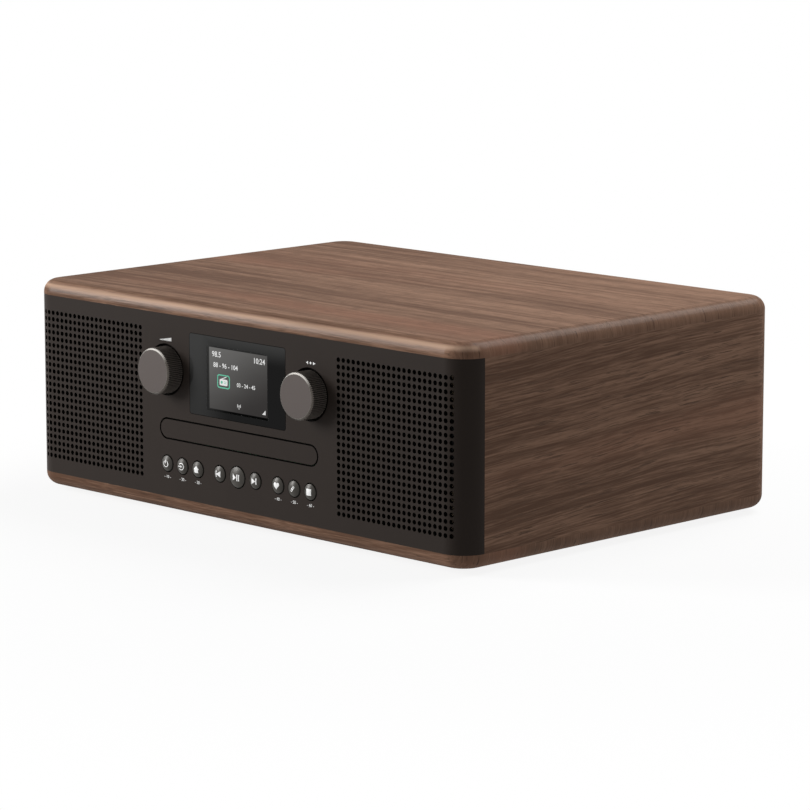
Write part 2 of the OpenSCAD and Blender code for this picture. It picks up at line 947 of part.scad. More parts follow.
module volume_knob() { knob_body(knob_places[0]); }
module volume_knob_face() { knob_face(knob_places[0]); }
module volume_encoder() { encoder(knob_places[0]); }
module volume_shaft() { encoder_shaft(knob_places[0], front_y + board_seat - case_back_t - shaft_end_gap); }
module select_knob() { knob_body(knob_places[1]); }
module select_knob_face() { knob_face(knob_places[1]); }
module select_encoder() { encoder(knob_places[1]); }
module select_shaft() { encoder_shaft(knob_places[1], plunger_y - shaft_end_gap); }

// Small disc that the select shaft pushes on, with its travel kept free behind it
module select_plunger() {
    color(steel_colour)
        rod(select_x, plunger_y, foot_h + knob_z, shaft_r - 0.4, plunger_t);
}

// ---- Buttons ----

// Button with its axis along Y: domed cap, flange behind the panel and stem to the switch
module button(x, r) {
    chord = r + dome_seam;
    ball_r = (chord * chord + button_dome * button_dome) / (2 * button_dome);
    flange_y = panel_t + slide_gap;
    color("#5f5b57")
        translate([x, front_y, foot_h + button_z])
            rotate([-90, 0, 0])
                rotate_extrude($fn = 96) {
                    intersection() {
                        translate([0, ball_r - button_out - button_dome])
                            circle(ball_r, $fn = 360);
                        translate([0, -button_out - button_dome - 1])
                            square([r, button_dome + 1]);
                    }
                    translate([0, -button_out])
                        square([r, button_out + flange_y + flange_t]);
                    translate([0, flange_y])
                        square([r + button_gap + flange_lip, flange_t]);
                    translate([0, flange_y])
                        square([stem_r, switch_y - button_travel - slide_gap - flange_y]);
                }
}

module standby_button() { button(-button_x4, button_r); }
module source_button() { button(-button_x3, button_r); }
module home_button() { button(-button_x2, button_r); }
module previous_button() { button(-button_x1, button_r); }
module play_button() { button(0, play_r); }
module next_button() { button(button_x1, button_r); }
module favourite_button() { button(button_x2, button_r); }
module link_button() { button(button_x3, button_r); }
module stop_button() { button(button_x4, button_r); }

// ---- Disc tray ----

module disc_tray() {
    back = tray_front + tray_l;
    rack_y = tray_front + rack_start;
    color(black_colour)
        difference() {
            translate([-tray_w / 2, tray_front, tray_low])
                cube([tray_w, tray_l, tray_h]);
            translate([0, disc_y, tray_top - disc_depth])
                cylinder(r = disc_r, h = tray_h, $fn = 128);
            translate([0, disc_y, tray_top - disc_depth - small_disc_depth])
                cylinder(r = small_disc_r, h = tray_h, $fn = 96);
            translate([0, disc_y, tray_low - 1])
                cylinder(r = tray_slot_w / 2, h = tray_h);
            translate([-tray_slot_w / 2, disc_y, tray_low - 1])
                cube([tray_slot_w, tray_slot_l, tray_h]);
            translate([-tray_w / 2 - 1, rack_y, tray_low - 1])
                cube([rack_cut + 1, back - rack_y + 1, rack_h + rack_headroom]);
        }
    color(black_colour)
        translate([rack_pitch_x, gear_y, tray_low])
            linear_extrude(rack_h)
                rotate(180)
                    rack_shape(rack_module, rack_after, rack_before, rack_cut - 0.8 * rack_module);
}

// Flap on the front of the tray
module tray_door() {
    color(panel_colour)
        upright(front_y, door_t)
            translate([0, tray_mid])
                stadium(door_w, door_h);
}

// ---- Disc loader ----

module chassis_wall(side, from) {
    x = side < 0 ? -wall_x - wall_t : wall_x;
    translate([x, from, plate_z])
        cube([wall_t, chassis_back - from, bridge_low - plate_z]);
}

module tray_ledge(side, from) {
    inner = tray_w / 2 - ledge_edge - ledge_w;
    x = side < 0 ? -inner - ledge_w : inner;
    translate([x, from, tray_low - slide_gap - ledge_t])
        cube([ledge_w, chassis_back - from - ledge_end, ledge_t]);
}

// Plate on four posts, with side walls, ledges for the tray, axles and the lugs of the deck's hinge
module loader_chassis() {
    posts = [for (x = [chassis_left + post_inset, chassis_right - post_inset],
                  y = [chassis_front + post_inset, chassis_back - post_inset]) [x, y]];
    wall_front = gear_y + drive_module * wheel_teeth / 2 + wheel_gap;
    web_x = tray_w / 2 - ledge_edge - ledge_w;
    color("#3c3f42")
        difference() {
            union() {
                translate([chassis_left, chassis_front, plate_z])
                    cube([chassis_right - chassis_left, chassis_back - chassis_front, plate_t]);
                chassis_wall(-1, wall_front);
                chassis_wall(1, chassis_front);
                tray_ledge(-1, chassis_front);
                tray_ledge(1, chassis_front);
                for (side = [-1, 1], y = [wall_front, chassis_back - web_inset])
                    translate([side < 0 ? -wall_x : web_x, y, plate_z])
                        cube([wall_x - web_x, web_l, tray_low - slide_gap - plate_z]);
                translate([web_x, chassis_front, plate_z])
                    cube([wall_x - web_x, web_l, tray_low - slide_gap - plate_z]);
                translate([-wall_x, chassis_back - wall_t, plate_z])
                    cube([2 * wall_x, wall_t, tray_top - plate_z]);
                for (p = posts)
                    translate([p[0], p[1], low_z])
                        cylinder(r = post_r, h = plate_z - low_z + eps);
                translate([gear_x, gear_y, plate_z])
                    cylinder(r = axle_r, h = tray_low + rack_h + axle_cap - plate_z);
                translate([pulley_x, pulley_y, plate_z])
                    cylinder(r = axle_r, h = wheel_low + wheel_h + axle_cap - plate_z);
                for (side = [-1, 1])
                    translate([side * (deck_opening + lug_t / 2) - lug_t / 2, hinge_y - lug_r, plate_z])
                        cube([lug_t, 2 * lug_r, hinge_z + lug_r - plate_z]);
            }
            translate([-deck_opening, deck_front - deck_gap, plate_z - 1])
                cube([2 * deck_opening, hinge_y + 2 * deck_gap - (deck_front - deck_gap), plate_t + 2]);
            translate([-deck_opening - lug_t - 1, hinge_y, hinge_z])
                rotate([0, 90, 0])
                    cylinder(r = hinge_pin_r + shaft_gap, h = 2 * (deck_opening + lug_t + 1));
            translate([pulley_x, pulley_y + belt_distance, plate_z - 1])
                cylinder(r = motor_boss_r + shaft_hole_gap, h = plate_t + 2);
            for (p = posts)
                translate([p[0], p[1], low_z - 1])
                    cylinder(r = post_hole_r, h = post_hole_l + 1);
        }
}

// Wheel that the pulley drives, with the pinion for the tray's rack above it
module loader_gear() {
    low = plate_z + plate_t + slide_gap;
    color("#d9d6cc")
        translate([gear_x, gear_y, 0])
            difference() {
                union() {
                    translate([0, 0, low])
                        cylinder(r = hub_r, h = wheel_low - low);
                    translate([0, 0, wheel_low])
                        linear_extrude(wheel_h)
                            gear_shape(drive_module, wheel_teeth, pulley_angle);
                    translate([0, 0, wheel_low + wheel_h])
                        linear_extrude(tray_low + rack_h + 0.3 - wheel_low - wheel_h)
                            gear_shape(rack_module, pinion_teeth, 180 / pinion_teeth);
                }
                translate([0, 0, low - 1])
                    cylinder(r = axle_r + shaft_gap, h = 40);
            }
}

module pulley_shape(outer_r, groove_r, h) {
    side = (h - belt_h) / 2 - 0.2;
    cylinder(r = outer_r, h = side);
    cylinder(r = groove_r, h = h);
    translate([0, 0, h - side])
        cylinder(r = outer_r, h = side);
}

module loader_pulley() {
    low = plate_z + plate_t + slide_gap;
    color("#d9d6cc")
        translate([pulley_x, pulley_y, 0])
            difference() {
                union() {
                    translate([0, 0, low])
                        cylinder(r = pulley_hub_r, h = wheel_low - low);
                    translate([0, 0, pulley_low])
                        pulley_shape(pulley_r, pulley_groove_r, pulley_h);
                    translate([0, 0, wheel_low - 0.6])
                        linear_extrude(wheel_h + 0.6)
                            gear_shape(drive_module, small_teeth, pulley_angle + 180 + 180 / small_teeth);
                }
                translate([0, 0, low - 1])
                    cylinder(r = axle_r + shaft_gap, h = 40);
            }
}

module motor_pulley() {
    color(steel_colour)
        translate([pulley_x, pulley_y + belt_distance, 0]) {
            translate([0, 0, pulley_low])
                pulley_shape(motor_pulley_r, motor_groove_r, pulley_h);
            translate([0, 0, plate_z - motor_h + shaft_depth])
                cylinder(r = motor_shaft_r, h = pulley_low + pulley_h - plate_z + motor_h - shaft_depth);
        }
}

// Outline of a belt round two wheels, the first at the origin and the second on +Y
function belt_arc(r, from, to, y) =
    [for (i = [0:belt_steps]) let (a = from + (to - from) * i / belt_steps) [r * cos(a), y + r * sin(a)]];

module belt_outline(r1, r2, distance) {
    lean = asin((r1 - r2) / distance);
    polygon(concat(belt_arc(r1, 180 - lean, 360 + lean, 0), belt_arc(r2, lean, 180 - lean, distance)));
}

module loader_belt() {
    inner = screw_gap * 2;
    color(black_colour)
        translate([pulley_x, pulley_y, pulley_low + (pulley_h - belt_h) / 2])
            linear_extrude(belt_h)
                difference() {
                    belt_outline(
                        pulley_groove_r + inner + belt_t, motor_groove_r + inner + belt_t, belt_distance
                    );
                    belt_outline(pulley_groove_r + inner, motor_groove_r + inner, belt_distance);
                }
}

module loader_motor() {
    color(steel_colour)
        translate([pulley_x, pulley_y + belt_distance, plate_z - motor_h])
            difference() {
                union() {
                    cylinder(r = motor_r, h = motor_h);
                    translate([0, 0, motor_h])
                        cylinder(r = motor_boss_r, h = motor_boss_h);
                }
                translate([0, 0, 2])
                    cylinder(r = motor_shaft_r + shaft_gap, h = motor_h);
            }
}

// Lowers the level deck about its hinge to where it waits under the tray
module on_deck() {
    translate([0, hinge_y, hinge_z])
        rotate([deck_angle, 0, 0])
            translate([0, -hinge_y, -hinge_z])
                children();
}

module player_deck() {
    arm_y = hinge_y - arm_l;
    color("#6f7377")
        on_deck()
            difference() {
                union() {
                    translate([-deck_half_w, deck_front, deck_top - deck_t])
                        cube([2 * deck_half_w, arm_y - deck_front + arm_w, deck_t]);
                    for (side = [-1, 1])
                        translate([side * (deck_half_w - arm_w / 2) - arm_w / 2, arm_y, deck_top - deck_t])
                            cube([arm_w, arm_l, deck_t]);
                    for (side = [-1, 1])
                        translate([side * (deck_half_w - arm_w / 2) - arm_w / 2, hinge_y, hinge_z])
                            rotate([0, 90, 0])
                                cylinder(r = 2 * hinge_pin_r, h = arm_w);
                    for (side = [-1, 1])
                        translate([side < 0 ? -deck_opening - lug_t : deck_half_w - 1, hinge_y, hinge_z])
                            rotate([0, 90, 0])
                                cylinder(r = hinge_pin_r, h = deck_opening + lug_t - deck_half_w + 1);
                    for (side = [-1, 1], y = [guide_front, guide_back - rod_boss_t])
                        translate([side * rod_x - rod_boss_w / 2, y, deck_top - eps])
                            cube([rod_boss_w, rod_boss_t, rod_z + rod_boss_w / 2 - deck_top]);
                    translate([sled_gear_x, sled_gear_y, deck_top - eps])
                        cylinder(r = guide_r, h = sled_gear_low + sled_gear_h + 0.6 - deck_top);
                }
                translate([rod_boss_t - rod_x, guide_front + rod_boss_t + 1, deck_top - deck_t - 1])
                    cube([
                        2 * (rod_x - rod_boss_t), guide_back - guide_front - 2 * rod_boss_t - 5, deck_t + 2
                    ]);
                translate([0, disc_y, deck_top - deck_t - 1])
                    cylinder(r = motor_boss_r + shaft_hole_gap, h = deck_t + 2);
                for (x = [-rod_x, rod_x])
                    rod(x, guide_front - 1, rod_z, guide_r + screw_gap, guide_back - guide_front + 2);
            }
}

// Spindle motor and sled motor, under the deck
module deck_motors() {
    low = deck_top - deck_t - deck_motor_h;
    color(steel_colour)
        on_deck() {
            translate([0, disc_y, low])
                difference() {
                    cylinder(r = deck_motor_r, h = deck_motor_h);
                    translate([0, 0, 1.5])
                        cylinder(r = motor_shaft_r + shaft_gap, h = deck_motor_h);
                }
            translate([sled_gear_x, sled_gear_y, low])
                cylinder(r = sled_motor_r, h = deck_motor_h);
        }
}

module turntable() {
    low = deck_top - deck_t - deck_motor_h + 2;
    color(black_colour)
        on_deck()
            translate([0, disc_y, 0]) {
                translate([0, 0, low])
                    cylinder(r = motor_shaft_r, h = table_top - low);
                translate([0, 0, deck_top + table_gap])
                    cylinder(r = table_neck_r, h = table_top - deck_top - table_gap);
                translate([0, 0, table_top - table_t])
                    cylinder(r = table_r, h = table_t);
                translate([0, 0, table_top])
                    cylinder(r1 = table_cone_r, r2 = table_cone_top_r, h = table_cone_h);
            }
}

// Sled on its two rods, with the lens on top and a rack along its right side
module laser_sled() {
    low = deck_top + sled_lift;
    rack_low = sled_gear_low + 0.2;
    color("#33363a")
        on_deck() {
            difference() {
                translate([-rod_x - sled_margin, sled_y - sled_l / 2, low])
                    cube([2 * (rod_x + sled_margin), sled_l, sled_t]);
                for (x = [-rod_x, rod_x])
                    rod(x, sled_y - sled_l, rod_z, guide_r + shaft_gap, 2 * sled_l);
            }
            translate([-lens_block_w / 2, lens_y + 1 - lens_block_w / 2, low + sled_t - eps])
                cube([lens_block_w, lens_block_w, lens_block_h]);
            translate([0, lens_y, low + sled_t + lens_block_h - eps])
                cylinder(r = lens_r, h = lens_h);
            translate([sled_rack_x, sled_gear_y, rack_low])
                linear_extrude(sled_gear_h - 0.4)
                    rack_shape(sled_module, sled_rack_before, 1, sled_rack_x - rod_x - sled_margin + eps);
        }
}

module guide_rods() {
    color(steel_colour)
        on_deck()
            for (x = [-rod_x, rod_x])
                rod(x, guide_front, rod_z, guide_r, guide_back - guide_front);
}

module sled_gear() {
    color("#d9d6cc")
        on_deck()
            translate([sled_gear_x, sled_gear_y, sled_gear_low])
                difference() {
                    linear_extrude(sled_gear_h)
                        gear_shape(sled_module, sled_teeth, 180 + 180 / sled_teeth);
                    translate([0, 0, -1])
                        cylinder(r = guide_r + shaft_gap, h = sled_gear_h + 2);
                }
}

// Bridge over the tray that holds the clamping puck
module clamp_bridge() {
    color("#3c3f42")
        translate([-wall_x - wall_t, disc_y - bridge_half_d, bridge_low])
            difference() {
                cube([2 * (wall_x + wall_t), 2 * bridge_half_d, bridge_t]);
                translate([wall_x + wall_t, bridge_half_d, -1])
                    cylinder(r = puck_r + puck_gap, h = bridge_t + 2);
            }
}

module clamp_puck() {
    low = tray_top + 0.4;
    flange_low = bridge_low + bridge_t + slide_gap;
    color(black_colour)
        translate([0, disc_y, 0])
            difference() {
                union() {
                    translate([0, 0, low])
                        cylinder(r = puck_r, h = flange_low - low);
                    translate([0, 0, flange_low])
                        cylinder(r = puck_r + 3, h = 1.6);
                }
                translate([0, 0, low - 1])
                    cylinder(r = table_cone_r + 0.7, h = table_cone_h + 1.7);
            }
}

// ---- Speakers ----

// Children are drawn with the radius on X and the depth behind the baffle's front on Y
module driver(side) {
    translate([side * speaker_x, baffle_y, foot_h + body_h / 2])
        rotate([-90, 0, 0])
            rotate_extrude($fn = 96)
                children();
}

// Basket with its surround, magnet and pole piece
module speaker_frame(side) {
    color("#2a2a2c")
        difference() {
            driver(side) {
                translate([speaker_hole_r - surround_w, -driver_rim_t])
                    square([speaker_r - speaker_hole_r + surround_w, driver_rim_t]);
                polygon([
                    [speaker_hole_r - 3, -eps], [speaker_hole_r - 1, -eps],
                    [magnet_r - 4, basket_h], [magnet_r - 6, basket_h]
                ]);
                translate([coil_r + 2, basket_h - 2])
                    square([magnet_r - 4 - coil_r - 2, 2]);
                translate([coil_r + 2, basket_h])
                    square([magnet_r - coil_r - 2, magnet_h]);
                translate([0, basket_h + magnet_h])
                    square([magnet_r, back_plate_t]);
                translate([0, basket_h - 1])
                    square([coil_r - 1.2, magnet_h + 1 + eps]);
            }
            for (a = [0:60:300])
                translate([side * speaker_x, baffle_y, foot_h + body_h / 2])
                    rotate([0, a, 0])
                        translate([speaker_hole_r - 10, baffle_t + 3, -8])
                            cube([12, basket_h - baffle_t - 8, 16]);
        }
}

module speaker_left() { speaker_frame(-1); }
module speaker_right() { speaker_frame(1); }

// Paper cone with its dust cap and the coil's former
module speaker_cone(side) {
    rim = speaker_hole_r - surround_w - slide_gap;
    color("#232325")
        driver(side) {
            polygon([
                [rim, -1.5], [rim, -0.7], [coil_r + 0.6, cone_h],
                [coil_r - 0.2, cone_h - 0.6], [rim - 1, -1.5]
            ]);
            translate([coil_r - 0.3, coil_start])
                square([0.6, coil_l]);
            polygon([
                [coil_r - 0.2, cone_h - 2], [coil_r - 0.2, cone_h - 1], [0, cone_h - 4], [0, cone_h - 5]
            ]);
        }
}

module cone_left() { speaker_cone(-1); }
module cone_right() { speaker_cone(1); }

// ---- Electronics ----

module board_on_standoffs(x0, x1, y0, y1) {
    translate([x0, y0, low_z + standoff_h])
        cube([x1 - x0, y1 - y0, circuit_t]);
    for (x = [x0 + standoff_inset, x1 - standoff_inset], y = [y0 + standoff_inset, y1 - standoff_inset])
        translate([x, y, low_z])
            cylinder(r = standoff_r, h = standoff_h + eps);
}

// Main circuit board with its heat sink, tuner can, capacitors and processor
module main_board() {
    top = low_z + standoff_h + circuit_t - eps;
    depth = electronics_back - board_gap - electronics_y;
    front_row = electronics_y + 0.1 * depth;
    color(board_colour) {
        board_on_standoffs(main_left, main_right, electronics_y, electronics_y + depth);
        translate([main_left + sink_inset, front_row, top])
            cube([sink_w, sink_share * depth, sink_base]);
        for (i = [0:sink_fins - 1])
            translate([main_left + sink_inset + i * (sink_w - fin_t) / (sink_fins - 1), front_row, top])
                cube([fin_t, sink_share * depth, sink_base + fin_h]);
        translate([main_right - tuner_inset - tuner_w, front_row, top])
            cube([tuner_w, tuner_share * depth, tuner_h]);
        for (i = [0:2])
            translate([main_left + capacitor_x + i * capacitor_step, front_row + capacitor_r, top])
                cylinder(r = capacitor_r, h = capacitor_h);
        translate([main_left + chip_x, electronics_y + 0.45 * depth, top])
            cube([chip_w, tuner_share * depth * 0.6, chip_t]);
    }
}

// Mains supply: board, transformer, capacitor, cooling fin and fuse
module power_supply() {
    top = low_z + standoff_h + circuit_t - eps;
    depth = electronics_back - inlet_room - electronics_y;
    front_row = electronics_y + 0.1 * depth;
    color(board_colour) {
        board_on_standoffs(supply_left, supply_right, electronics_y, electronics_y + depth);
        translate([supply_left + transformer_inset, front_row, top])
            cube([transformer_w, transformer_share * depth, transformer_h]);
        translate([supply_left + reservoir_x, electronics_y + 0.36 * depth, top])
            cylinder(r = reservoir_share * depth, h = reservoir_h);
        translate([supply_right - transformer_inset, front_row, top])
            cube([cooler_t, transformer_share * depth, cooler_h]);
        translate([supply_left + fuse_x, electronics_y + 0.05 * depth, top])
            cube([fuse_l, 0.09 * depth, fuse_h]);
    }
}

// Figure-eight mains inlet with its two pins
module mains_inlet() {
    color(black_colour) {
        difference() {
            union() {
                upright(electronics_back - 2 * inlet_floor, panel_t + 2 * inlet_floor)
                    translate([inlet_x, inlet_z])
                        stadium(inlet_w, inlet_h);
                upright(back_y - back_recess - inlet_depth - inlet_floor, inlet_depth - inlet_floor)
                    translate([inlet_x, inlet_z])
                        square([inlet_w + 2 * inlet_lip, inlet_h + 2 * inlet_lip], center = true);
            }
            upright(back_y - back_recess - inlet_depth, inlet_depth + 1)
                translate([inlet_x, inlet_z])
                    stadium(inlet_w - 2 * inlet_wall, inlet_h - 2 * inlet_wall);
        }
        for (side = [-1, 1])
            rod(inlet_x + side * inlet_pin_spacing / 2, back_y - back_recess - inlet_depth - eps, inlet_z,
                inlet_pin_r, inlet_depth - inlet_pin_sunk);
    }
}

// Pair of 3.5 mm jack sockets on the edge of the main board
module rear_jacks() {
    z = low_z + standoff_h + jack_rise;
    low = low_z + standoff_h + circuit_t;
    color(black_colour)
        for (i = [0, 1])
            translate([jack_x + i * jack_spacing, 0, 0])
                difference() {
                    union() {
                        translate([-jack_half_w, electronics_back - jack_body_l, low])
                            cube([2 * jack_half_w, jack_body_l, z + jack_half_w - low]);
                        rod(0, electronics_back - eps, z, jack_collar_r, panel_t + jack_collar_out);
                    }
                    rod(0, back_y - back_recess + jack_collar_out - jack_l, z, jack_r, jack_l + 1);
                }
}

// ---- Aerial ----

// Threaded socket screwed through the back, with a stub that the knuckle turns on
module aerial_socket() {
    z = foot_h + aerial_z;
    seat = back_y - back_recess;
    color(steel_colour) {
        rod(aerial_x, seat, z, socket_flange_r, socket_flange_t);
        rod(aerial_x, seat - panel_t - socket_tail_l, z, socket_stub_r, panel_t + socket_tail_l + eps);
        rod(aerial_x, seat - panel_t - socket_nut_t, z, socket_nut_r, socket_nut_t);
        rod(aerial_x, seat + socket_flange_t - eps, z, socket_barrel_r, socket_barrel_l + eps);
        rod(aerial_x, seat + socket_flange_t + socket_barrel_l - eps, z, socket_stub_r, socket_stub_l + eps);
    }
}

// Knuckle that swivels on the stub, forked for the sleeve's tongue
module aerial_knuckle() {
    z = foot_h + aerial_z;
    color(steel_colour)
        difference() {
            rod(aerial_x, knuckle_y, z, knuckle_r, knuckle_l);
            rod(aerial_x, knuckle_y - 1, z, socket_stub_r + shaft_gap, socket_stub_l + 1);
            translate([aerial_x - 2 * knuckle_r, knuckle_pin_y - tongue_r - 1, z - knuckle_slot / 2])
                cube([4 * knuckle_r, knuckle_l, knuckle_slot]);
        }
    color(steel_colour)
        translate([aerial_x, knuckle_pin_y, z - knuckle_pin_l / 2])
            cylinder(r = knuckle_pin_r, h = knuckle_pin_l);
}

// Sleeve that folds flat along the back, with the tongue of its hinge
module aerial_sleeve() {
    z = foot_h + aerial_z;
    tongue_t = knuckle_slot - 2 * slide_gap;
    color(steel_colour)
        translate([aerial_x, knuckle_pin_y, z])
            difference() {
                union() {
                    translate([0, 0, -tongue_t / 2])
                        cylinder(r = tongue_r, h = tongue_t);
                    translate([-tongue_l - 1, -tongue_r, -tongue_t / 2])
                        cube([tongue_l + 1, 2 * tongue_r, tongue_t]);
                    translate([-tongue_l, 0, 0])
                        rotate([0, -90, 0])
                            cylinder(r = sleeve_r, h = sleeve_l);
                }
                translate([0, 0, -tongue_t])
                    cylinder(r = knuckle_pin_r + shaft_gap, h = 2 * tongue_t);
                translate([-tongue_l - sleeve_end_t, 0, 0])
                    rotate([0, -90, 0])
                        cylinder(r = rod_r + shaft_gap, h = sleeve_l);
            }
}

// Inner rod with its end cap
module aerial_rod() {
    z = foot_h + aerial_z;
    start = tongue_l + sleeve_l - rod_travel - rod_grip;
    color(steel_colour)
        translate([aerial_x, knuckle_pin_y, z])
            rotate([0, -90, 0]) {
                translate([0, 0, start])
                    cylinder(r = rod_r, h = tongue_l + sleeve_l + slide_gap - start + eps);
                translate([0, 0, tongue_l + sleeve_l + slide_gap])
                    cylinder(r = sleeve_r, h = rod_cap_l);
            }
}

top_board();
base_board();
side_board_left();
side_board_right();
rear_panel();
rear_screws();
rubber_feet();
front_panel();
grille_left();
grille_right();
speaker_baffle();
display_window();
lcd_module();
front_board();
volume_knob();
volume_knob_face();
volume_encoder();
volume_shaft();
select_knob();
select_knob_face();
select_encoder();
select_shaft();
select_plunger();
standby_button();
source_button();
home_button();
previous_button();
play_button();
next_button();
favourite_button();
link_button();
stop_button();
disc_tray();
tray_door();
loader_chassis();
loader_gear();
loader_pulley();
motor_pulley();
loader_belt();
loader_motor();
player_deck();
deck_motors();
turntable();
laser_sled();
guide_rods();
sled_gear();
clamp_bridge();
clamp_puck();
speaker_left();
speaker_right();
cone_left();
cone_right();
main_board();
power_supply();
mains_inlet();
rear_jacks();
aerial_socket();
aerial_knuckle();
aerial_sleeve();
aerial_rod();
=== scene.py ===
"""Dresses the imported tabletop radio: finishes for every piece, the prints on its front, the picture on its
screen, the details of its back, and a plain stage with soft light."""

import math

import bmesh
import bpy
import numpy as np
from mathutils import Matrix, Vector


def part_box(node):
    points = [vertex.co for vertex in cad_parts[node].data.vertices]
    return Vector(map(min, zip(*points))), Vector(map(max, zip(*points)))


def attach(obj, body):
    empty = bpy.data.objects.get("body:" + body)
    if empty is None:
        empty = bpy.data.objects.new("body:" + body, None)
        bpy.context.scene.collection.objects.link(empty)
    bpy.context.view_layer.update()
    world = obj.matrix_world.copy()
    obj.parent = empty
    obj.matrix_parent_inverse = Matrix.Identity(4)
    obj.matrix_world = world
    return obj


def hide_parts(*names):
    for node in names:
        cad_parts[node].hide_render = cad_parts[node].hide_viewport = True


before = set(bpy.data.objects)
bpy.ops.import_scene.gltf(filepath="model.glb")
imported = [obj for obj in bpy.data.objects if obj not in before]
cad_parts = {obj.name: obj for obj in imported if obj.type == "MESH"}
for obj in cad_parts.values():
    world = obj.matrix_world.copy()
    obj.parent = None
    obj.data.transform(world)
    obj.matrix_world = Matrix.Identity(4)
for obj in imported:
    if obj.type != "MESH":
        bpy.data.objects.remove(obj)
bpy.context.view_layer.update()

bl_info = {
    "name": "Tabletop radio",
    "version": (1, 0, 0),
    "blender": (4, 5, 0),
    "location": "3D View > Sidebar > Radio",
    "description": "Finishes, prints and stage of a tabletop radio with a disc player",
    "category": "Object",
}

MM = 0.001
TURN = 2 * math.pi
BUTTONS = ("standby", "source", "home", "previous", "play", "next", "favourite", "link", "stop")


# ---- Places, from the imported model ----


def middle(node):
    """Centre of a node's box."""
    low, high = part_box(node)
    return (low + high) / 2


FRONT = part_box("front_panel")[0].y
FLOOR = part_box("rubber_feet")[0].z
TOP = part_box("top_board")[1].z
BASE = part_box("base_board")[0].z
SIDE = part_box("top_board")[1].x
CORNER = 16.5 * MM  # radius of the cabinet's corners
PILLAR = 8 * MM  # height of the pillars under a circuit board
BOARD = 1.6 * MM  # thickness of a circuit board


# ---- Settings ----


class CabinetSettings(bpy.types.PropertyGroup):
    """Wood of the cabinet."""

    light: bpy.props.FloatVectorProperty(
        name="Light wood", description="Colour of the light bands of the grain", subtype="COLOR",
        default=(0.262, 0.1525, 0.1005), min=0, max=1,
    )
    dark: bpy.props.FloatVectorProperty(
        name="Dark wood", description="Colour of the dark bands of the grain", subtype="COLOR",
        default=(0.112, 0.0585, 0.0362), min=0, max=1,
    )
    # Colour of the painted highlight along the rounded front edge.
    painted_highlight: bpy.props.FloatVectorProperty(
        name="Painted highlight", description="Colour of the lighter band along the front edge", subtype="COLOR",
        default=(0.56, 0.37, 0.265), min=0, max=1,
    )
    pore: bpy.props.FloatVectorProperty(
        name="Pores", description="Colour of the fine pores", subtype="COLOR",
        default=(0.042, 0.022, 0.014), min=0, max=1,
    )


class FrontSettings(bpy.types.PropertyGroup):
    """Paint and prints of the front."""

    paint: bpy.props.FloatVectorProperty(
        name="Paint", description="Colour of the front panel and the grilles", subtype="COLOR",
        default=(0.0266, 0.0201, 0.0168), min=0, max=1,
    )
    ink: bpy.props.FloatVectorProperty(
        name="Ink", description="Colour of the prints on the front and the buttons", subtype="COLOR",
        default=(0.93, 0.93, 0.92), min=0, max=1,
    )
    ink_height: bpy.props.FloatProperty(
        name="Ink height", description="Thickness of a print above its surface", subtype="DISTANCE",
        default=0.04 * MM, min=0.01 * MM, max=0.2 * MM,
    )


class ControlSettings(bpy.types.PropertyGroup):
    """Metal of the knobs and buttons."""

    knob: bpy.props.FloatVectorProperty(
        name="Knob", description="Colour of the ridged sides of the knobs", subtype="COLOR",
        default=(0.085, 0.074, 0.065), min=0, max=1,
    )
    face: bpy.props.FloatVectorProperty(
        name="Knob face", description="Colour of the plain faces of the knobs", subtype="COLOR",
        default=(0.071, 0.058, 0.053), min=0, max=1,
    )
    button: bpy.props.FloatVectorProperty(
        name="Button", description="Colour of the buttons", subtype="COLOR",
        default=(0.06, 0.055, 0.048), min=0, max=1,
    )
    cap: bpy.props.FloatProperty(
        name="Small cap", description="Radius of a small button", subtype="DISTANCE",
        default=4.75 * MM, min=3 * MM, max=8 * MM,
    )
    play_cap: bpy.props.FloatProperty(
        name="Play cap", description="Radius of the play button", subtype="DISTANCE",
        default=6.3 * MM, min=4 * MM, max=9 * MM,
    )
    dome: bpy.props.FloatProperty(
        name="Dome", description="Height of a button's domed top", subtype="DISTANCE",
        default=1.3 * MM, min=0.5 * MM, max=3 * MM,
    )


class StageSettings(bpy.types.PropertyGroup):
    """Floor, lamps and camera."""

    floor: bpy.props.FloatVectorProperty(
        name="Floor", description="Colour of the floor", subtype="COLOR",
        default=(0.88, 0.88, 0.88), min=0, max=1,
    )
    floor_size: bpy.props.FloatProperty(
        name="Floor size", description="Width of the floor", subtype="DISTANCE",
        default=16, min=2, max=60,
    )
    key: bpy.props.FloatProperty(
        name="Key lamp", description="Power of the large lamp above the radio", subtype="POWER",
        default=15.5, min=0, max=500,
    )
    rim: bpy.props.FloatProperty(
        name="Rim lamp", description="Power of the lamp on the upper left", subtype="POWER",
        default=6, min=0, max=500,
    )
    fill: bpy.props.FloatProperty(
        name="Fill lamp", description="Power of the lamp in front of the radio", subtype="POWER",
        default=37, min=0, max=500,
    )
    ambient: bpy.props.FloatProperty(
        name="Ambient", description="Strength of the even light from all round",
        default=0.2, min=0, max=2,
    )


# ---- Finishes ----


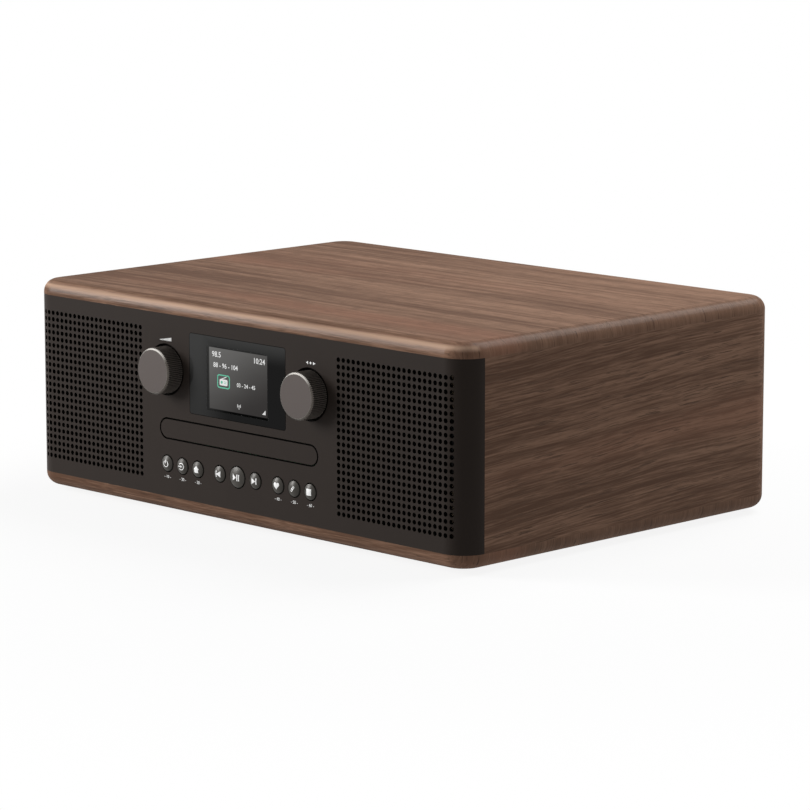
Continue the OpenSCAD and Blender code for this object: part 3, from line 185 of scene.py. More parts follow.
class Value:
    """A socket of some nodes. Sums on it add Math nodes."""

    def __init__(self, nodes, socket):
        self.nodes = nodes
        self.socket = socket

    def math(self, operation, *terms):
        return self.nodes.node("ShaderNodeMath", {"operation": operation}, dict(enumerate(terms)))

    def __add__(self, other):
        return self.math("ADD", self, other)

    def __sub__(self, other):
        return self.math("SUBTRACT", self, other)

    def __mul__(self, other):
        return self.math("MULTIPLY", self, other)

    def __truediv__(self, other):
        return self.math("DIVIDE", self, other)

    def __rsub__(self, other):
        return self.math("SUBTRACT", other, self)

    def __rtruediv__(self, other):
        return self.math("DIVIDE", other, self)

    def __neg__(self):
        return self * -1

    def __abs__(self):
        return self.math("ABSOLUTE", self)

    __radd__ = __add__
    __rmul__ = __mul__

    def most(self, other):
        return self.math("MAXIMUM", self, other)

    def wave(self):
        return self.math("SINE", self)

    def root(self):
        return self.math("SQRT", self)

    def step(self, low, high):
        """0 below low, 1 above high, and smooth between them."""
        return self.nodes.node(
            "ShaderNodeMapRange", {"interpolation_type": "SMOOTHSTEP"},
            {"Value": self, "From Min": low, "From Max": high},
        )

    def out(self, name):
        """Another output of the same node."""
        return Value(self.nodes, self.socket.node.outputs[name])


class Nodes:
    """The nodes of a finish or of the surroundings."""

    def __init__(self, owner):
        owner.use_nodes = True
        self.tree = owner.node_tree
        self.tree.nodes.clear()

    def node(self, kind, settings=None, values=None):
        """Adds a node, sets its settings first and then its sockets; gives its first output."""
        made = self.tree.nodes.new(kind)
        for key, value in (settings or {}).items():
            setattr(made, key, value)
        for key, value in (values or {}).items():
            socket = made.inputs[key]
            if isinstance(value, Value):
                self.tree.links.new(value.socket, socket)
            else:
                socket.default_value = value
        outputs = [s for s in made.outputs if s.enabled]
        return Value(self, outputs[0]) if outputs else made

    def seen(self):
        """1 for light that reaches the camera straight, off a gloss or through glass, otherwise 0."""
        path = self.node("ShaderNodeLightPath")
        return path.out("Is Camera Ray").most(path.out("Is Glossy Ray")).most(path.out("Is Transmission Ray"))

    def white(self, strength):
        return self.node("ShaderNodeEmission", None, {"Color": (1, 1, 1, 1), "Strength": strength})


class Finish(Nodes):
    """A procedural material, and the sums that it is made of."""

    def __init__(self, name):
        self.material = bpy.data.materials.new(name)
        super().__init__(self.material)
        self.place = self.node("ShaderNodeTexCoord").out("Object")
        parts = self.node("ShaderNodeSeparateXYZ", None, {"Vector": self.place})
        self.x, self.y, self.z = parts.out("X"), parts.out("Y"), parts.out("Z")

    def outward(self):
        """X of the direction that the surface faces; out gives its Y and Z."""
        normal = self.node("ShaderNodeNewGeometry").out("Normal")
        return self.node("ShaderNodeSeparateXYZ", None, {"Vector": normal})

    def off_axis(self, centre):
        """Distance from the axis along Y through a place."""
        across, up = self.x - centre.x, self.z - centre.z
        return (across * across + up * up).root()

    def vector(self, x, y, z):
        return self.node("ShaderNodeCombineXYZ", None, {"X": x, "Y": y, "Z": z})

    def noise(self, where, scale, detail, rough):
        values = {"Vector": where, "Scale": scale, "Detail": detail, "Roughness": rough}
        return self.node("ShaderNodeTexNoise", None, values)

    def mix(self, factor, first, second):
        """Blend of two colours, from first at 0 to second at 1."""
        colours = [c if isinstance(c, Value) else (*c, 1) for c in (first, second)]
        made = self.node("ShaderNodeMix", {"data_type": "RGBA"}, {"Factor": factor})
        node = made.socket.node
        for socket, colour in zip([s for s in node.inputs if s.type == "RGBA"], colours):
            if isinstance(colour, Value):
                self.tree.links.new(colour.socket, socket)
            else:
                socket.default_value = colour
        return Value(self, [s for s in node.outputs if s.type == "RGBA"][0])

    def bump(self, height, distance, strength):
        values = {"Height": height, "Distance": distance, "Strength": strength}
        return self.node("ShaderNodeBump", None, values)

    def shader(self, colour, rough, **more):
        """Principled shader; more holds its other sockets by name, with _ for a space."""
        values = {"Base Color": colour if isinstance(colour, Value) else (*colour, 1), "Roughness": rough}
        for key, value in more.items():
            values[key.replace("_", " ")] = value
        return self.node("ShaderNodeBsdfPrincipled", None, values)

    def done(self, shader):
        self.node("ShaderNodeOutputMaterial", None, {"Surface": shader})
        return self.material


def tones(colour, share):
    """A darker and a lighter tone of a colour."""
    return [tuple(c * (1 - share) for c in colour), tuple(c * (1 + share) for c in colour)]


def wood(name, settings, along, flat, waves, edge=0.0, lift=0.0, lean=0.0, start=7):
    """Walnut with its grain along X or Y. Wide bands, streaks, fibres and dashes are noise stretched along
    the grain, and their weighted sum picks the tone between the dark and the light wood. Where a face turns
    across the grain, the height above the flat plane is stretched as well, so that the streaks run on over
    the rounded edge. As painted light, the boards get lighter towards the back, and the top and the base
    towards the right too, and a painted highlight lies along the rounded front edge.
    waves is the weight of the bands, edge the strength of the painted highlight along the rounded front
    edge, lift makes the whole board lighter, lean slants the grain, and start shifts the streaks."""
    f = Finish(name)
    crossways = along == "X"
    run, side, depth = (f.x, f.y, abs(f.z - flat)) if crossways else (f.y, f.z, f.x)
    turned = f.outward()
    facing = abs(turned if crossways else turned.out("Y")).step(0.35, 0.8)

    def grain(run_scale, side_scale, detail, rough, shift=0.0):
        """Noise that varies so many times in a metre along and across the grain."""
        deep = side_scale * (1 - facing) + run_scale * facing
        where = f.vector(run * run_scale + shift, side * side_scale, depth * deep)
        return f.noise(where, 1.0, detail, rough)

    sway = f.noise(f.vector(run * 4, side * 9, depth * 9), 1.0, 2, 0.5)
    side = side + (sway - 0.5) * 0.012 - run * lean
    bands = grain(1.6, 26, 2, 0.5)
    streaks = grain(5, 170, 4, 0.62, start)
    fibres = grain(26, 900, 3, 0.6, 3)
    dashes = grain(55, 1250, 2, 0.5, 11)
    blush = grain(1.1, 14, 1, 0.5, 19)

    weights = (waves, 1.35, 1.1, 0.8)
    # Painted light: the tone rises towards the back, and on the top and the base towards the right.
    level = f.y * 0.25 + (f.x * 0.35 if crossways else 0.0) + (lift + 0.5 - sum(weights) / 2)
    tone = sum(part * weight for part, weight in zip((bands, streaks, fibres, dashes), weights))
    tone = (tone + level).step(0.2, 0.8)
    if crossways:
        end_grain = abs(turned).step(0.1, 0.5)
        tone = tone + (0.4 - tone) * end_grain * 0.55
    colour = f.mix(tone, settings.dark, settings.light)
    red = tuple(c * k for c, k in zip(settings.light, (1.1, 0.9, 0.87)))
    colour = f.mix(blush.step(0.52, 0.75) * 0.5, colour, red)
    pores = dashes.step(0.54, 0.68) * (streaks.step(0.3, 0.6) * 0.6 + 0.4) * 0.75
    colour = f.mix(pores, colour, settings.pore)

    # Painted highlight: a light band where the rounded front edge faces up and ahead, following the streaks
    # and stronger towards the right.
    up, ahead = turned.out("Z"), -turned.out("Y")
    band = up.step(0.26, 0.62) * (1 - up.step(0.6, 0.88)) * ahead.step(0.05, 0.3)
    painted_highlight = band * (streaks * 2.2 - 0.1) * (f.x * 0.5 + 0.95) * edge
    colour = f.mix(painted_highlight, colour, settings.painted_highlight)

    grazing = f.node("ShaderNodeLayerWeight", None, {"Blend": 0.5}).out("Facing").step(0.45, 0.85)
    normal = f.bump(1 - pores * 0.8 + fibres * 0.3, 0.12 * MM, 0.5)
    return f.done(f.shader(colour, 0.6 + pores * 0.2 - tone * 0.06, Normal=normal, Specular_IOR_Level=0.0,
                           Coat_Weight=(1 - grazing * 0.35) * 0.17, Coat_Roughness=0.3))


def paint(name, colour):
    """Matt paint with a very fine orange peel and a faint mottle. Below the outer skin, in the holes and
    gaps, the colour is darkened to near black as painted shade. The depth below the front, whose upright
    corners are round, is the corner's radius less the distance from the corner's axis."""
    f = Finish(name)
    round_x = (abs(f.x) - (SIDE - CORNER)).most(0)
    round_y = (FRONT + CORNER - f.y).most(0)
    depth = CORNER - (round_x * round_x + round_y * round_y).root()
    inside = depth.step(0.05 * MM, 0.2 * MM)
    mottle = f.noise(f.place, 60, 3, 0.6)
    peel = f.noise(f.place, 2600, 2, 0.5)
    # Painted shade: holes and gaps below the outer skin get the paint colour darkened to near black.
    surface = f.mix(inside, f.mix(mottle, *tones(colour, 0.07)), tuple(c * 0.12 for c in colour))
    rough = 0.48 + mottle * 0.08 + inside * 0.4
    normal = f.bump(peel, 0.02 * MM, 0.35)
    return f.done(f.shader(surface, rough, Normal=normal, Specular_IOR_Level=0.06))


def moulded(name, colour, rough, grain, depth, share=0.12):
    """Moulded plastic or rubber with a fine eroded texture."""
    f = Finish(name)
    flow = f.noise(f.place, 35, 3, 0.6)
    pits = f.noise(f.place, grain, 3, 0.6)
    surface = f.mix(flow, *tones(colour, share))
    normal = f.bump(pits, depth * MM, 0.5)
    return f.done(f.shader(surface, rough + flow * 0.1 - 0.05, Normal=normal))


def metal(name, colour, rough, brush, share=0.06, depth=0.015, metallic=1.0, **more):
    """Metal with fine brush marks; brush gives how often they cross each axis."""
    f = Finish(name)
    marks = f.noise(f.vector(f.x * brush[0], f.y * brush[1], f.z * brush[2]), 1.0, 4, 0.65)
    cloud = f.noise(f.place, 45, 2, 0.5)
    surface = f.mix(marks * 0.6 + cloud * 0.4, *tones(colour, share))
    normal = f.bump(marks, depth * MM, 0.35)
    spread = rough + (marks - 0.5) * 0.1 + (cloud - 0.5) * 0.06
    return f.done(f.shader(surface, spread, Metallic=metallic, Normal=normal, **more))


def dress(material, *nodes):
    """Gives CAD nodes a material."""
    for name in nodes:
        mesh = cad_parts[name].data
        mesh.materials.clear()
        mesh.materials.append(material)


# ---- Meshes ----


class Surface:
    """Collects grids of points into one mesh."""

    def __init__(self):
        self.points = []
        self.faces = []
        self.count = 0

    def grid(self, points, wrap=False):
        """Adds rows x columns of points as quads; wrap joins the last column to the first."""
        points = np.asarray(points, float)
        rows, columns = points.shape[:2]
        index = np.arange(rows * columns).reshape(rows, columns) + self.count
        if wrap:
            index = np.hstack([index, index[:, :1]])
        quads = np.stack([index[:-1, :-1], index[:-1, 1:], index[1:, 1:], index[1:, :-1]], axis=-1)
        self.points.append(points.reshape(-1, 3))
        self.faces.append(quads.reshape(-1, 4))
        self.count += rows * columns

    def plate(self, points, normals, half, wrap):
        """Adds a closed plate: the grid raised and lowered by half a thickness along its normals, and the
        walls between their edges."""
        over, under = points + normals * half, points - normals * half
        self.grid(over, wrap)
        self.grid(under, wrap)
        self.grid(np.stack([over[0], under[0]]), wrap)
        self.grid(np.stack([over[-1], under[-1]]), wrap)
        if not wrap:
            self.grid(np.stack([over[:, 0], under[:, 0]]))
            self.grid(np.stack([over[:, -1], under[:, -1]]))

    def turned(self, profile, centre, steps=48):
        """Adds a turned piece: pairs of a distance along Y and a radius, carried round an axis along Y."""
        along = np.array((0.0, 1.0, 0.0))
        first = np.cross(along, (0.3, 0.5, 0.81))
        first /= np.linalg.norm(first)
        second = np.cross(along, first)
        angle = np.arange(steps) * TURN / steps
        ring = np.cos(angle)[:, None] * first + np.sin(angle)[:, None] * second
        rows = profile[:, 0, None, None] * along + profile[:, 1, None, None] * ring
        self.grid(rows + np.array(centre), wrap=True)

    def mesh(self, name):
        """The grids as one mesh, whose seams are still open."""
        mesh = bpy.data.meshes.new(name)
        mesh.from_pydata(np.concatenate(self.points).tolist(), [], np.concatenate(self.faces).tolist())
        return mesh

    def made(self, name, body, slot, material, replaces=(), smooth=True):
        """Closes the mesh and lets it ride on its body."""
        mesh = joined(name, [self.mesh(name)])
        if smooth:
            mesh.shade_smooth()
            mesh.set_sharp_from_angle(angle=math.radians(40))
        piece = ridden(name, mesh, body, material)
        if replaces:
            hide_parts(*replaces)


def joined(name, meshes):
    """One mesh from several, with its seams closed and its faces turned outwards."""
    shape = bmesh.new()
    for mesh in meshes:
        shape.from_mesh(mesh)
        bpy.data.meshes.remove(mesh)
    bmesh.ops.remove_doubles(shape, verts=shape.verts, dist=1e-7)
    bmesh.ops.dissolve_degenerate(shape, edges=shape.edges, dist=1e-8)
    bmesh.ops.recalc_face_normals(shape, faces=shape.faces)
    mesh = bpy.data.meshes.new(name)
    shape.to_mesh(mesh)
    shape.free()
    return mesh


def ridden(name, mesh, body, material):
    """Makes a mesh a piece that rides on its body."""
    mesh.materials.append(material)
    piece = bpy.data.objects.new(name, mesh)
    bpy.context.scene.collection.objects.link(piece)
    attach(piece, body)
    return piece


def between(a, b, steps):
    """Evenly spaced rows from the line of points a to the line b."""
    t = np.linspace(0, 1, steps)[:, None, None]
    return a[None] * (1 - t) + b[None] * t


def quad(a, b, c, d, steps=6):
    """Flat four-cornered patch: a to b is one side, d to c the opposite one."""
    t = np.linspace(0, 1, steps)[:, None]
    first = np.array(a) * (1 - t) + np.array(b) * t
    second = np.array(d) * (1 - t) + np.array(c) * t
    return between(first, second, steps)


def bar(x0, z0, x1, z1, width):
    """Straight bar of a width between two points."""
    run = np.array([x1 - x0, z1 - z0], float)
    side = np.array([-run[1], run[0]]) / np.linalg.norm(run) * width / 2
    a, b = np.array([x0, z0]), np.array([x1, z1])
    return quad(a - side, b - side, b + side, a + side)


def ring(x, z, inner, outer, start=0.0, end=360.0, steps=40):
    """Part of a ring between two radii, from start to end degrees; inner and outer may follow the angle."""
    angle = np.radians(np.linspace(start, end, steps, endpoint=abs(end - start) < 360))
    inner = np.broadcast_to(np.asarray(inner, float), angle.shape)
    outer = np.broadcast_to(np.asarray(outer, float), angle.shape)
    line = np.stack([np.cos(angle), np.sin(angle)], axis=-1)
    return np.array([x, z]) + between(line * inner[:, None], line * outer[:, None], 3)


def rounded(half_w, half_h, radius, steps=48):
    """Distance of a rounded rectangle's outline from its centre, at evenly spaced angles: to the nearer flat
    side, or at a corner to the far side of the circle that rounds it."""
    angle = np.radians(np.linspace(0, 360, steps, endpoint=False))
    c, s = np.abs(np.cos(angle)), np.abs(np.sin(angle))
    flat = np.minimum(half_w / np.maximum(c, 1e-9), half_h / np.maximum(s, 1e-9))
    cx, cz = half_w - radius, half_h - radius
    along = c * cx + s * cz
    root = np.maximum(along**2 - (cx**2 + cz**2 - radius**2), 0)
    corner = along + np.sqrt(root)
    in_corner = (corner * c > cx) & (corner * s > cz)
    return np.where(in_corner, corner, flat)


def filled(outline, centre):
    """Patch that fills an outline from its centre."""
    return between(np.broadcast_to(np.array(centre, float), outline.shape), outline, 5)


def is_ring(patch):
    """Whether a patch's rows go all the way round."""
    first, last, second = patch[-1, 0], patch[-1, -1], patch[-1, 1]
    return np.linalg.norm(first - last) < 1.6 * np.linalg.norm(first - second) + 1e-12


def on_flat(y, x0=0.0, z0=0.0):
    """Lays flat patches on the plane at y, facing the front."""
    def place(patch):
        points = np.stack([patch[..., 0] + x0, np.full(patch.shape[:2], y), patch[..., 1] + z0], axis=-1)
        return points, np.broadcast_to((0.0, -1.0, 0.0), points.shape)
    return place


def on_dome(centre, apex, cap, dome):
    """Lays flat patches on a button's domed top: each point is moved back along Y onto the ball through the
    cap's rim, whose radius is (cap squared + dome squared) / (2 dome)."""
    ball = (cap**2 + dome**2) / (2 * dome)
    ball_centre = np.array([centre.x, apex + ball, centre.z])

    def place(patch):
        x, z = patch[..., 0], patch[..., 1]
        y = -np.sqrt(ball**2 - x**2 - z**2)
        out = np.stack([x, y, z], axis=-1)
        return out + ball_centre, out / ball
    return place


def printed(name, patches, place, height, body, slot, material):
    """Print made of flat patches, laid on a surface as thin closed plates."""
    surface = Surface()
    for patch in patches:
        points, normals = place(np.asarray(patch) * MM)
        surface.plate(points, normals, height, is_ring(patch))
    surface.made(name, body, slot, material, smooth=False)


def lettered(name, rows, y, height, body, material, weight=0.015):
    """Plain numbers as thin plates on the plane at y. Each row holds the numbers, a place on their foot line
    and their height, in millimetres, and whether their left end, centre or right end stands there; weight is
    how far the strokes are thickened, as a share of the height."""
    numeral = 0.7  # height of a numeral, as a share of the font's size
    meshes = []
    for words, x, z, size, side in rows:
        curve = bpy.data.curves.new(name, "FONT")
        curve.body = words
        curve.size = size * MM / numeral
        curve.align_x = side
        curve.resolution_u = 3
        curve.offset = weight * size * MM
        curve.extrude = height
        text = bpy.data.objects.new(name, curve)
        bpy.context.scene.collection.objects.link(text)
        bpy.context.view_layer.update()
        mesh = bpy.data.meshes.new_from_object(text.evaluated_get(bpy.context.evaluated_depsgraph_get()))
        mesh.transform(Matrix.Translation((x * MM, y, z * MM)) @ Matrix.Rotation(math.pi / 2, 4, "X"))
        bpy.data.objects.remove(text)
        bpy.data.curves.remove(curve)
        meshes.append(mesh)
    ridden(name, joined(name, meshes), body, material)


# ---- Operators ----


class RADIO_OT_cabinet(bpy.types.Operator):
    """Walnut boards, rear panel, baffle and feet"""

    bl_idname = "radio.cabinet"
    bl_label = "Cabinet"

    def execute(self, context):
        settings = context.scene.radio_cabinet
        dress(wood("walnut_top", settings, "X", TOP, 0.8, 0.8), "top_board")
        dress(wood("walnut_base", settings, "X", BASE, 0.8, 0.0, -0.12), "base_board")
        sides = wood("walnut_side", settings, "Y", 0.0, 0.3, lift=0.015, lean=0.05, start=31)
        dress(sides, "side_board_left", "side_board_right")
        dress(moulded("rear_texture", (0.022, 0.021, 0.02), 0.6, 1800, 0.09), "rear_panel")
        dress(moulded("fibreboard", (0.42, 0.33, 0.23), 0.85, 900, 0.12, 0.2), "speaker_baffle")
        dress(moulded("foot_rubber", (0.02, 0.02, 0.02), 0.8, 1200, 0.08), "rubber_feet")
        return {"FINISHED"}


class RADIO_OT_front(bpy.types.Operator):
    """Painted front panel, grilles and tray flap, and the marks printed on the panel"""

    bl_idname = "radio.front"
    bl_label = "Front"

    def execute(self, context):
        settings = context.scene.radio_front
        coat = paint("front_paint", settings.paint)
        dress(coat, "front_panel", "grille_left", "grille_right", "tray_door")
        ink = moulded("print_ink", settings.ink, 0.5, 2500, 0.01, 0.03)
        knob = middle("volume_knob")
        x, foot = knob.x / MM, knob.z / MM + 17.9  # where the marks over the knobs stand
        wedge = [bar(x + 1.2 * i, foot, x + 1.2 * i, foot + 1.28 + 0.22 * i, 0.75) for i in range(-4, 5)]
        level = foot + 1
        arrows = [ring(-x, level, 0, 0.75, steps=24)]
        for side in (-1, 1):
            tip, base = side * 4 - x, side * 2.1 - x
            arrows.append(quad((tip, level), (base, level - 1), (base, level), (base, level + 1)))
        flat, height = on_flat(FRONT), settings.ink_height
        printed("volume_mark", wedge, flat, height, "cabinet", "print", ink)
        printed("select_mark", arrows, flat, height, "cabinet", "print", ink)
        drop, size = 9.1, 1.9  # how far below a button its number stands, and how high it is
        rows = []
        outer = [b for b in BUTTONS if b not in ("previous", "play", "next")]
        for number, button in enumerate(outer, 1):
            place = middle(f"{button}_button")
            rows.append((f"- {number}0 -", place.x / MM, place.z / MM - drop, size, "CENTER"))
        lettered("key_numbers", rows, FRONT, height, "cabinet", ink, 0.0)
        return {"FINISHED"}


class RADIO_OT_display(bpy.types.Operator):
    """Glossy window over the screen, and the picture that the screen shows"""

    bl_idname = "radio.display"
    bl_label = "Display"

    def execute(self, context):
        low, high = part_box("lcd_module")
        rim = 2.4 * MM
        half_w, half_h = (high.x - low.x) / 2 - rim, (high.z - low.z) / 2 - rim
        x, z = (low.x + high.x) / 2, (low.z + high.z) / 2
        dress(self.window(x, z, half_w, half_h), "display_window")
        dress(self.glow(x, z, half_w, half_h), "lcd_module")
        white = self.lamp("screen_white", context.scene.radio_front.ink, 0.72)
        green = self.lamp("screen_green", (0.04, 0.5, 0.3), 0.75)
        left, foot = (x - half_w) / MM, (z - half_h) / MM  # all places are given from this corner
        rows = [
            ("98.5", left + 2.4, foot + 32.0, 3.3, "LEFT"),
            ("10:24", left + 49.4, foot + 31.9, 3.3, "RIGHT"),
            ("88 - 96 - 104", left + 3.6, foot + 25.7, 2.9, "LEFT"),
            ("03 - 24 - 45", left + 24.4, foot + 15.8, 2.4, "LEFT"),
        ]
        glass, height = low.y + 0.1 * MM, 0.03 * MM
        lettered("screen_numbers", rows, glass, height, "cabinet", white)
        flat = on_flat(glass, left * MM, foot * MM)
        icon, mast = np.array([12.6, 17.5]), np.array([26.2, 4.3])  # their middles
        frame_w, frame_h, round_r = 5.6, 4.2, 1.6
        outline = rounded(frame_w, frame_h, round_r)
        inner = rounded(frame_w - 0.75, frame_h - 0.75, round_r - 0.6)
        frame_ring = [ring(0, 0, inner, outline, steps=48) + icon]
        printed("screen_icon_frame", frame_ring, flat, height, "cabinet", "screen", green)
        marks = [
            ring(0, -0.5, 0, rounded(3.5, 1.9, 0.7), steps=48) + icon,
            bar(-2.2, 1.3, 2.6, 3.1, 0.45) + icon,
            quad((46.6, 1.7), (49.6, 1.7), (49.6, 4.5), (49.6, 4.5)),
            bar(0, -2.1, 0, 0, 0.35) + mast,
            ring(0, 0, 0, 0.45, steps=16) + mast,
            *(ring(0, 0, 1.2, 1.6, way - 40, way + 40, 12) + mast for way in (0, 180)),
        ]
        printed("screen_marks", marks, flat, height, "cabinet", "screen", white)
        holes = [
            ring(-1.6, -0.5, 0, 0.95, steps=20) + icon,
            *(bar(0.4, line, 2.7, line, 0.35) + icon for line in (0, -1)),
        ]
        printed("screen_icon_detail", holes, flat, 0.05 * MM, "cabinet", "screen", green)
        return {"FINISHED"}

    def window(self, x, z, half_w, half_h):
        """Black gloss round the lit part, with a painted reflection in its colour, and clear glass in front
        of it.
        """
        f = Finish("window_gloss")
        beyond = (abs(f.x - x) - half_w).most(abs(f.z - z) - half_h)
        haze = f.noise(f.place, 40, 2, 0.5)
        # The gloss colour carries a painted reflection, grey at the upper left and black at the lower right.
        painted_reflection_tone = f.mix(0.2, self.painted_reflection(f, x, z, half_w, half_h), (0.0, 0.0, 0.0))
        return f.done(f.shader(painted_reflection_tone, 0.05 + haze * 0.05, Alpha=beyond.step(0.9 * MM, 1.2 * MM),
                               Specular_IOR_Level=0.08))

    def painted_reflection(self, f, x, z, half_w, half_h):
        """Painted reflection: grey along the top and the left, and black towards the lower right corner."""
        across, up = (f.x - x) / half_w, (f.z - z) / half_h
        fall = up.step(0.65, 1.45).most((-across).step(0.15, 1.4) * (up * 0.2 + 0.8))
        return f.mix(fall, (0.001, 0.001, 0.001), (0.048, 0.048, 0.047))

    def glow(self, x, z, half_w, half_h):
        """Rim that glows with the painted reflection of the window, and a lit screen that is brighter towards
        its upper left corner.
        """
        f = Finish("screen_glow")
        across, up = (f.x - x) / half_w, (f.z - z) / half_h
        inside = 1 - (abs(across) - 1).most(abs(up) - 1).step(-0.002, 0.004)
        cloud = f.noise(f.vector(f.x * 22, f.y * 22, f.z * 55), 1.0, 2, 0.5)
        tone = (up * 0.4 - across * 0.3 + cloud * 0.3 + 0.17).step(-0.3, 1.3)
        grey = f.mix(tone, (0.037, 0.034, 0.033), (0.162, 0.16, 0.155))
        dots = f.noise(f.place, 3000, 2, 0.5)
        # Outside the lit screen, the rim glows with the painted reflection colour.
        light = f.mix(inside, self.painted_reflection(f, x, z, half_w, half_h), grey)
        light = f.mix(dots * 0.08, light, (0.0, 0.0, 0.0))
        return f.done(f.shader((0.002, 0.002, 0.002), 0.7 + dots * 0.1, Specular_IOR_Level=0.0,
                               Emission_Color=light, Emission_Strength=1.0))

    def lamp(self, name, colour, strength):
        """Lit figures, a little uneven."""
        f = Finish(name)
        uneven = f.noise(f.place, 300, 2, 0.5)
        shade = f.mix(uneven, *tones(colour, 0.04))
        return f.done(f.shader((0.02, 0.02, 0.02), 0.4, Emission_Color=shade, Emission_Strength=strength))


class RADIO_OT_knobs(bpy.types.Operator):
    """Ridged knobs with satin faces, their shafts and encoders"""

    bl_idname = "radio.knobs"
    bl_label = "Knobs"

    def execute(self, context):
        settings = context.scene.radio_controls
        for node in ("volume_knob", "select_knob"):
            dress(self.side(node, settings.knob), node)
            dress(self.face(node + "_face", settings.face), node + "_face")
        steel = metal("shaft_steel", (0.55, 0.55, 0.56), 0.3, (200, 2500, 200))
        dress(steel, "volume_shaft", "select_shaft", "select_plunger")
        zinc = metal("encoder_zinc", (0.4, 0.4, 0.41), 0.42, (600, 600, 600))
        dress(zinc, "volume_encoder", "select_encoder")
        return {"FINISHED"}

    def side(self, node, colour):
        """Grooves darkened as painted shade and crests lightened as painted highlight, told apart by their
        distance from the axis, a lighter row on the crests near the rear end as a painted highlight, and a
        polished bevel with a painted highlight where it faces the upper left, however the knob is turned."""
        f = Finish(node + "_ridges")
        low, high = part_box(node)
        radius = (high.x - low.x) / 2
        crest = f.off_axis(middle(node)).step(radius - 0.45 * MM, radius - 0.1 * MM)
        ahead = high.y - f.y
        back = (1 - ahead.step(0.9 * MM, 1.3 * MM)) * ahead.step(0.5 * MM, 0.7 * MM)
        bevel = 1 - (f.y - low.y).step(0.7 * MM, 1.1 * MM)
        turned = f.outward()
        # Painted highlight on the bevel, where its normal faces the upper left.
        lean = ((turned.out("Z") - turned * 0.7) * 2.2).step(-0.3, 1.1)
        grain = f.noise(f.place, 900, 3, 0.6)
        # Painted shade and highlight: the grooves take the colour darkened, the crests the colour lightened.
        ridges = f.mix(crest * (grain * 0.2 + 0.8), *tones(colour, 0.75))
        # Painted highlight: a lighter row on the crests near the rear end.
        ridges = f.mix(back * crest * 0.5, ridges, tuple(min(1, c * 4) for c in colour))
        shine = f.mix(lean, colour, (0.66, 0.63, 0.59))
        normal = f.bump(grain, 0.01 * MM, 0.3)
        return f.done(f.shader(f.mix(bevel, ridges, shine), 0.42 - bevel * 0.17 + grain * 0.05,
                               Metallic=bevel * 0.7 + 0.2, Specular_IOR_Level=0.2, Normal=normal))

    def face(self, node, colour):
        """Satin face with very fine turning marks round its axis."""
        f = Finish(node + "_satin")
        rings = f.noise(f.vector(f.off_axis(middle(node)) * 5000, 0.0, 0.0), 1.0, 3, 0.6)
        cloud = f.noise(f.place, 120, 2, 0.5)
        surface = f.mix(rings * 0.5 + cloud * 0.5, *tones(colour, 0.05))
        normal = f.bump(rings, 0.006 * MM, 0.25)
        return f.done(f.shader(surface, 0.46 + rings * 0.06, Metallic=0.5, Specular_IOR_Level=0.3,
                               Normal=normal))


class RADIO_OT_buttons(bpy.types.Operator):
    """Domed metal buttons and the white marks printed on them"""

    bl_idname = "radio.buttons"
    bl_label = "Buttons"

    def execute(self, context):
        controls, front = context.scene.radio_controls, context.scene.radio_front
        cap = metal("button_satin", controls.button, 0.35, (1200, 1200, 1200), 0.07, 0.008, 0.1,
                    Specular_IOR_Level=0.15)
        dress(cap, *[f"{b}_button" for b in BUTTONS])
        ink = moulded("button_ink", front.ink, 0.45, 2500, 0.01, 0.03)
        for button, patches in self.marks().items():
            node = f"{button}_button"
            radius = controls.play_cap if button == "play" else controls.cap
            place = on_dome(middle(node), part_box(node)[0].y, radius, controls.dome)
            printed(f"{button}_mark", patches, place, front.ink_height, f"{button}_key", "print", ink)
        return {"FINISHED"}

    def marks(self):
        """Flat patches of each mark, in millimetres from the middle of its button."""
        # The heart: across, the cube of the sine; up, a sum of four cosines.
        angle = np.arange(48) * TURN / 48
        lobes = 13 * np.cos(angle) - 5 * np.cos(2 * angle) - 2 * np.cos(3 * angle) - np.cos(4 * angle)
        heart = np.stack([2.3 * np.sin(angle) ** 3, 0.15 * lobes + 0.2], axis=-1)
        outer, inner = rounded(1.25, 0.75, 0.74), rounded(0.8, 0.3, 0.29)
        links = [self.slanted(ring(x, 0, inner, outer, steps=48)) for x in (-0.8, 0.8)]
        return {
            "standby": [ring(0, -0.1, 1.55, 2.1, 120, 420, 36), bar(0, 0.3, 0, 2.4, 0.6)],
            "source": [
                ring(0.2, 0, 1.75, 2.3, -140, 140, 36),
                bar(-2.4, 0, 0.1, 0, 0.55),
                quad((0.0, -0.95), (1.15, 0), (1.15, 0), (0.0, 0.95)),
            ],
            "home": [
                quad((-2.45, 0.05), (2.45, 0.05), (0.2, 2.2), (-0.2, 2.2)),
                quad((-1.65, -2), (1.65, -2), (1.65, 0.06), (-1.65, 0.06)),
            ],
            "previous": [bar(-1.85, -1.95, -1.85, 1.95, 0.8), self.arrow(1.9, -1.4, 1.95)],
            "play": [self.arrow(-2.7, 0.2, 2.0), *(bar(x, -2.0, x, 2.0, 0.75) for x in (1.05, 2.4))],
            "next": [self.arrow(-1.9, 1.4, 1.95), bar(1.85, -1.95, 1.85, 1.95, 0.8)],
            "favourite": [filled(heart, (0, 0.1))],
            "link": links,
            "stop": [quad((-2, -2), (2, -2), (2, 2), (-2, 2), 8)],
        }

    @staticmethod
    def arrow(blunt, tip, half):
        """Triangle from its upright side to its tip."""
        return quad((blunt, -half), (tip, -0.08), (tip, 0.08), (blunt, half), 7)

    @staticmethod
    def slanted(patch):
        """A patch turned by 50 degrees about the middle of its button."""
        c, s = math.cos(math.radians(50)), math.sin(math.radians(50))
        return patch @ np.array([[c, s], [-s, c]])


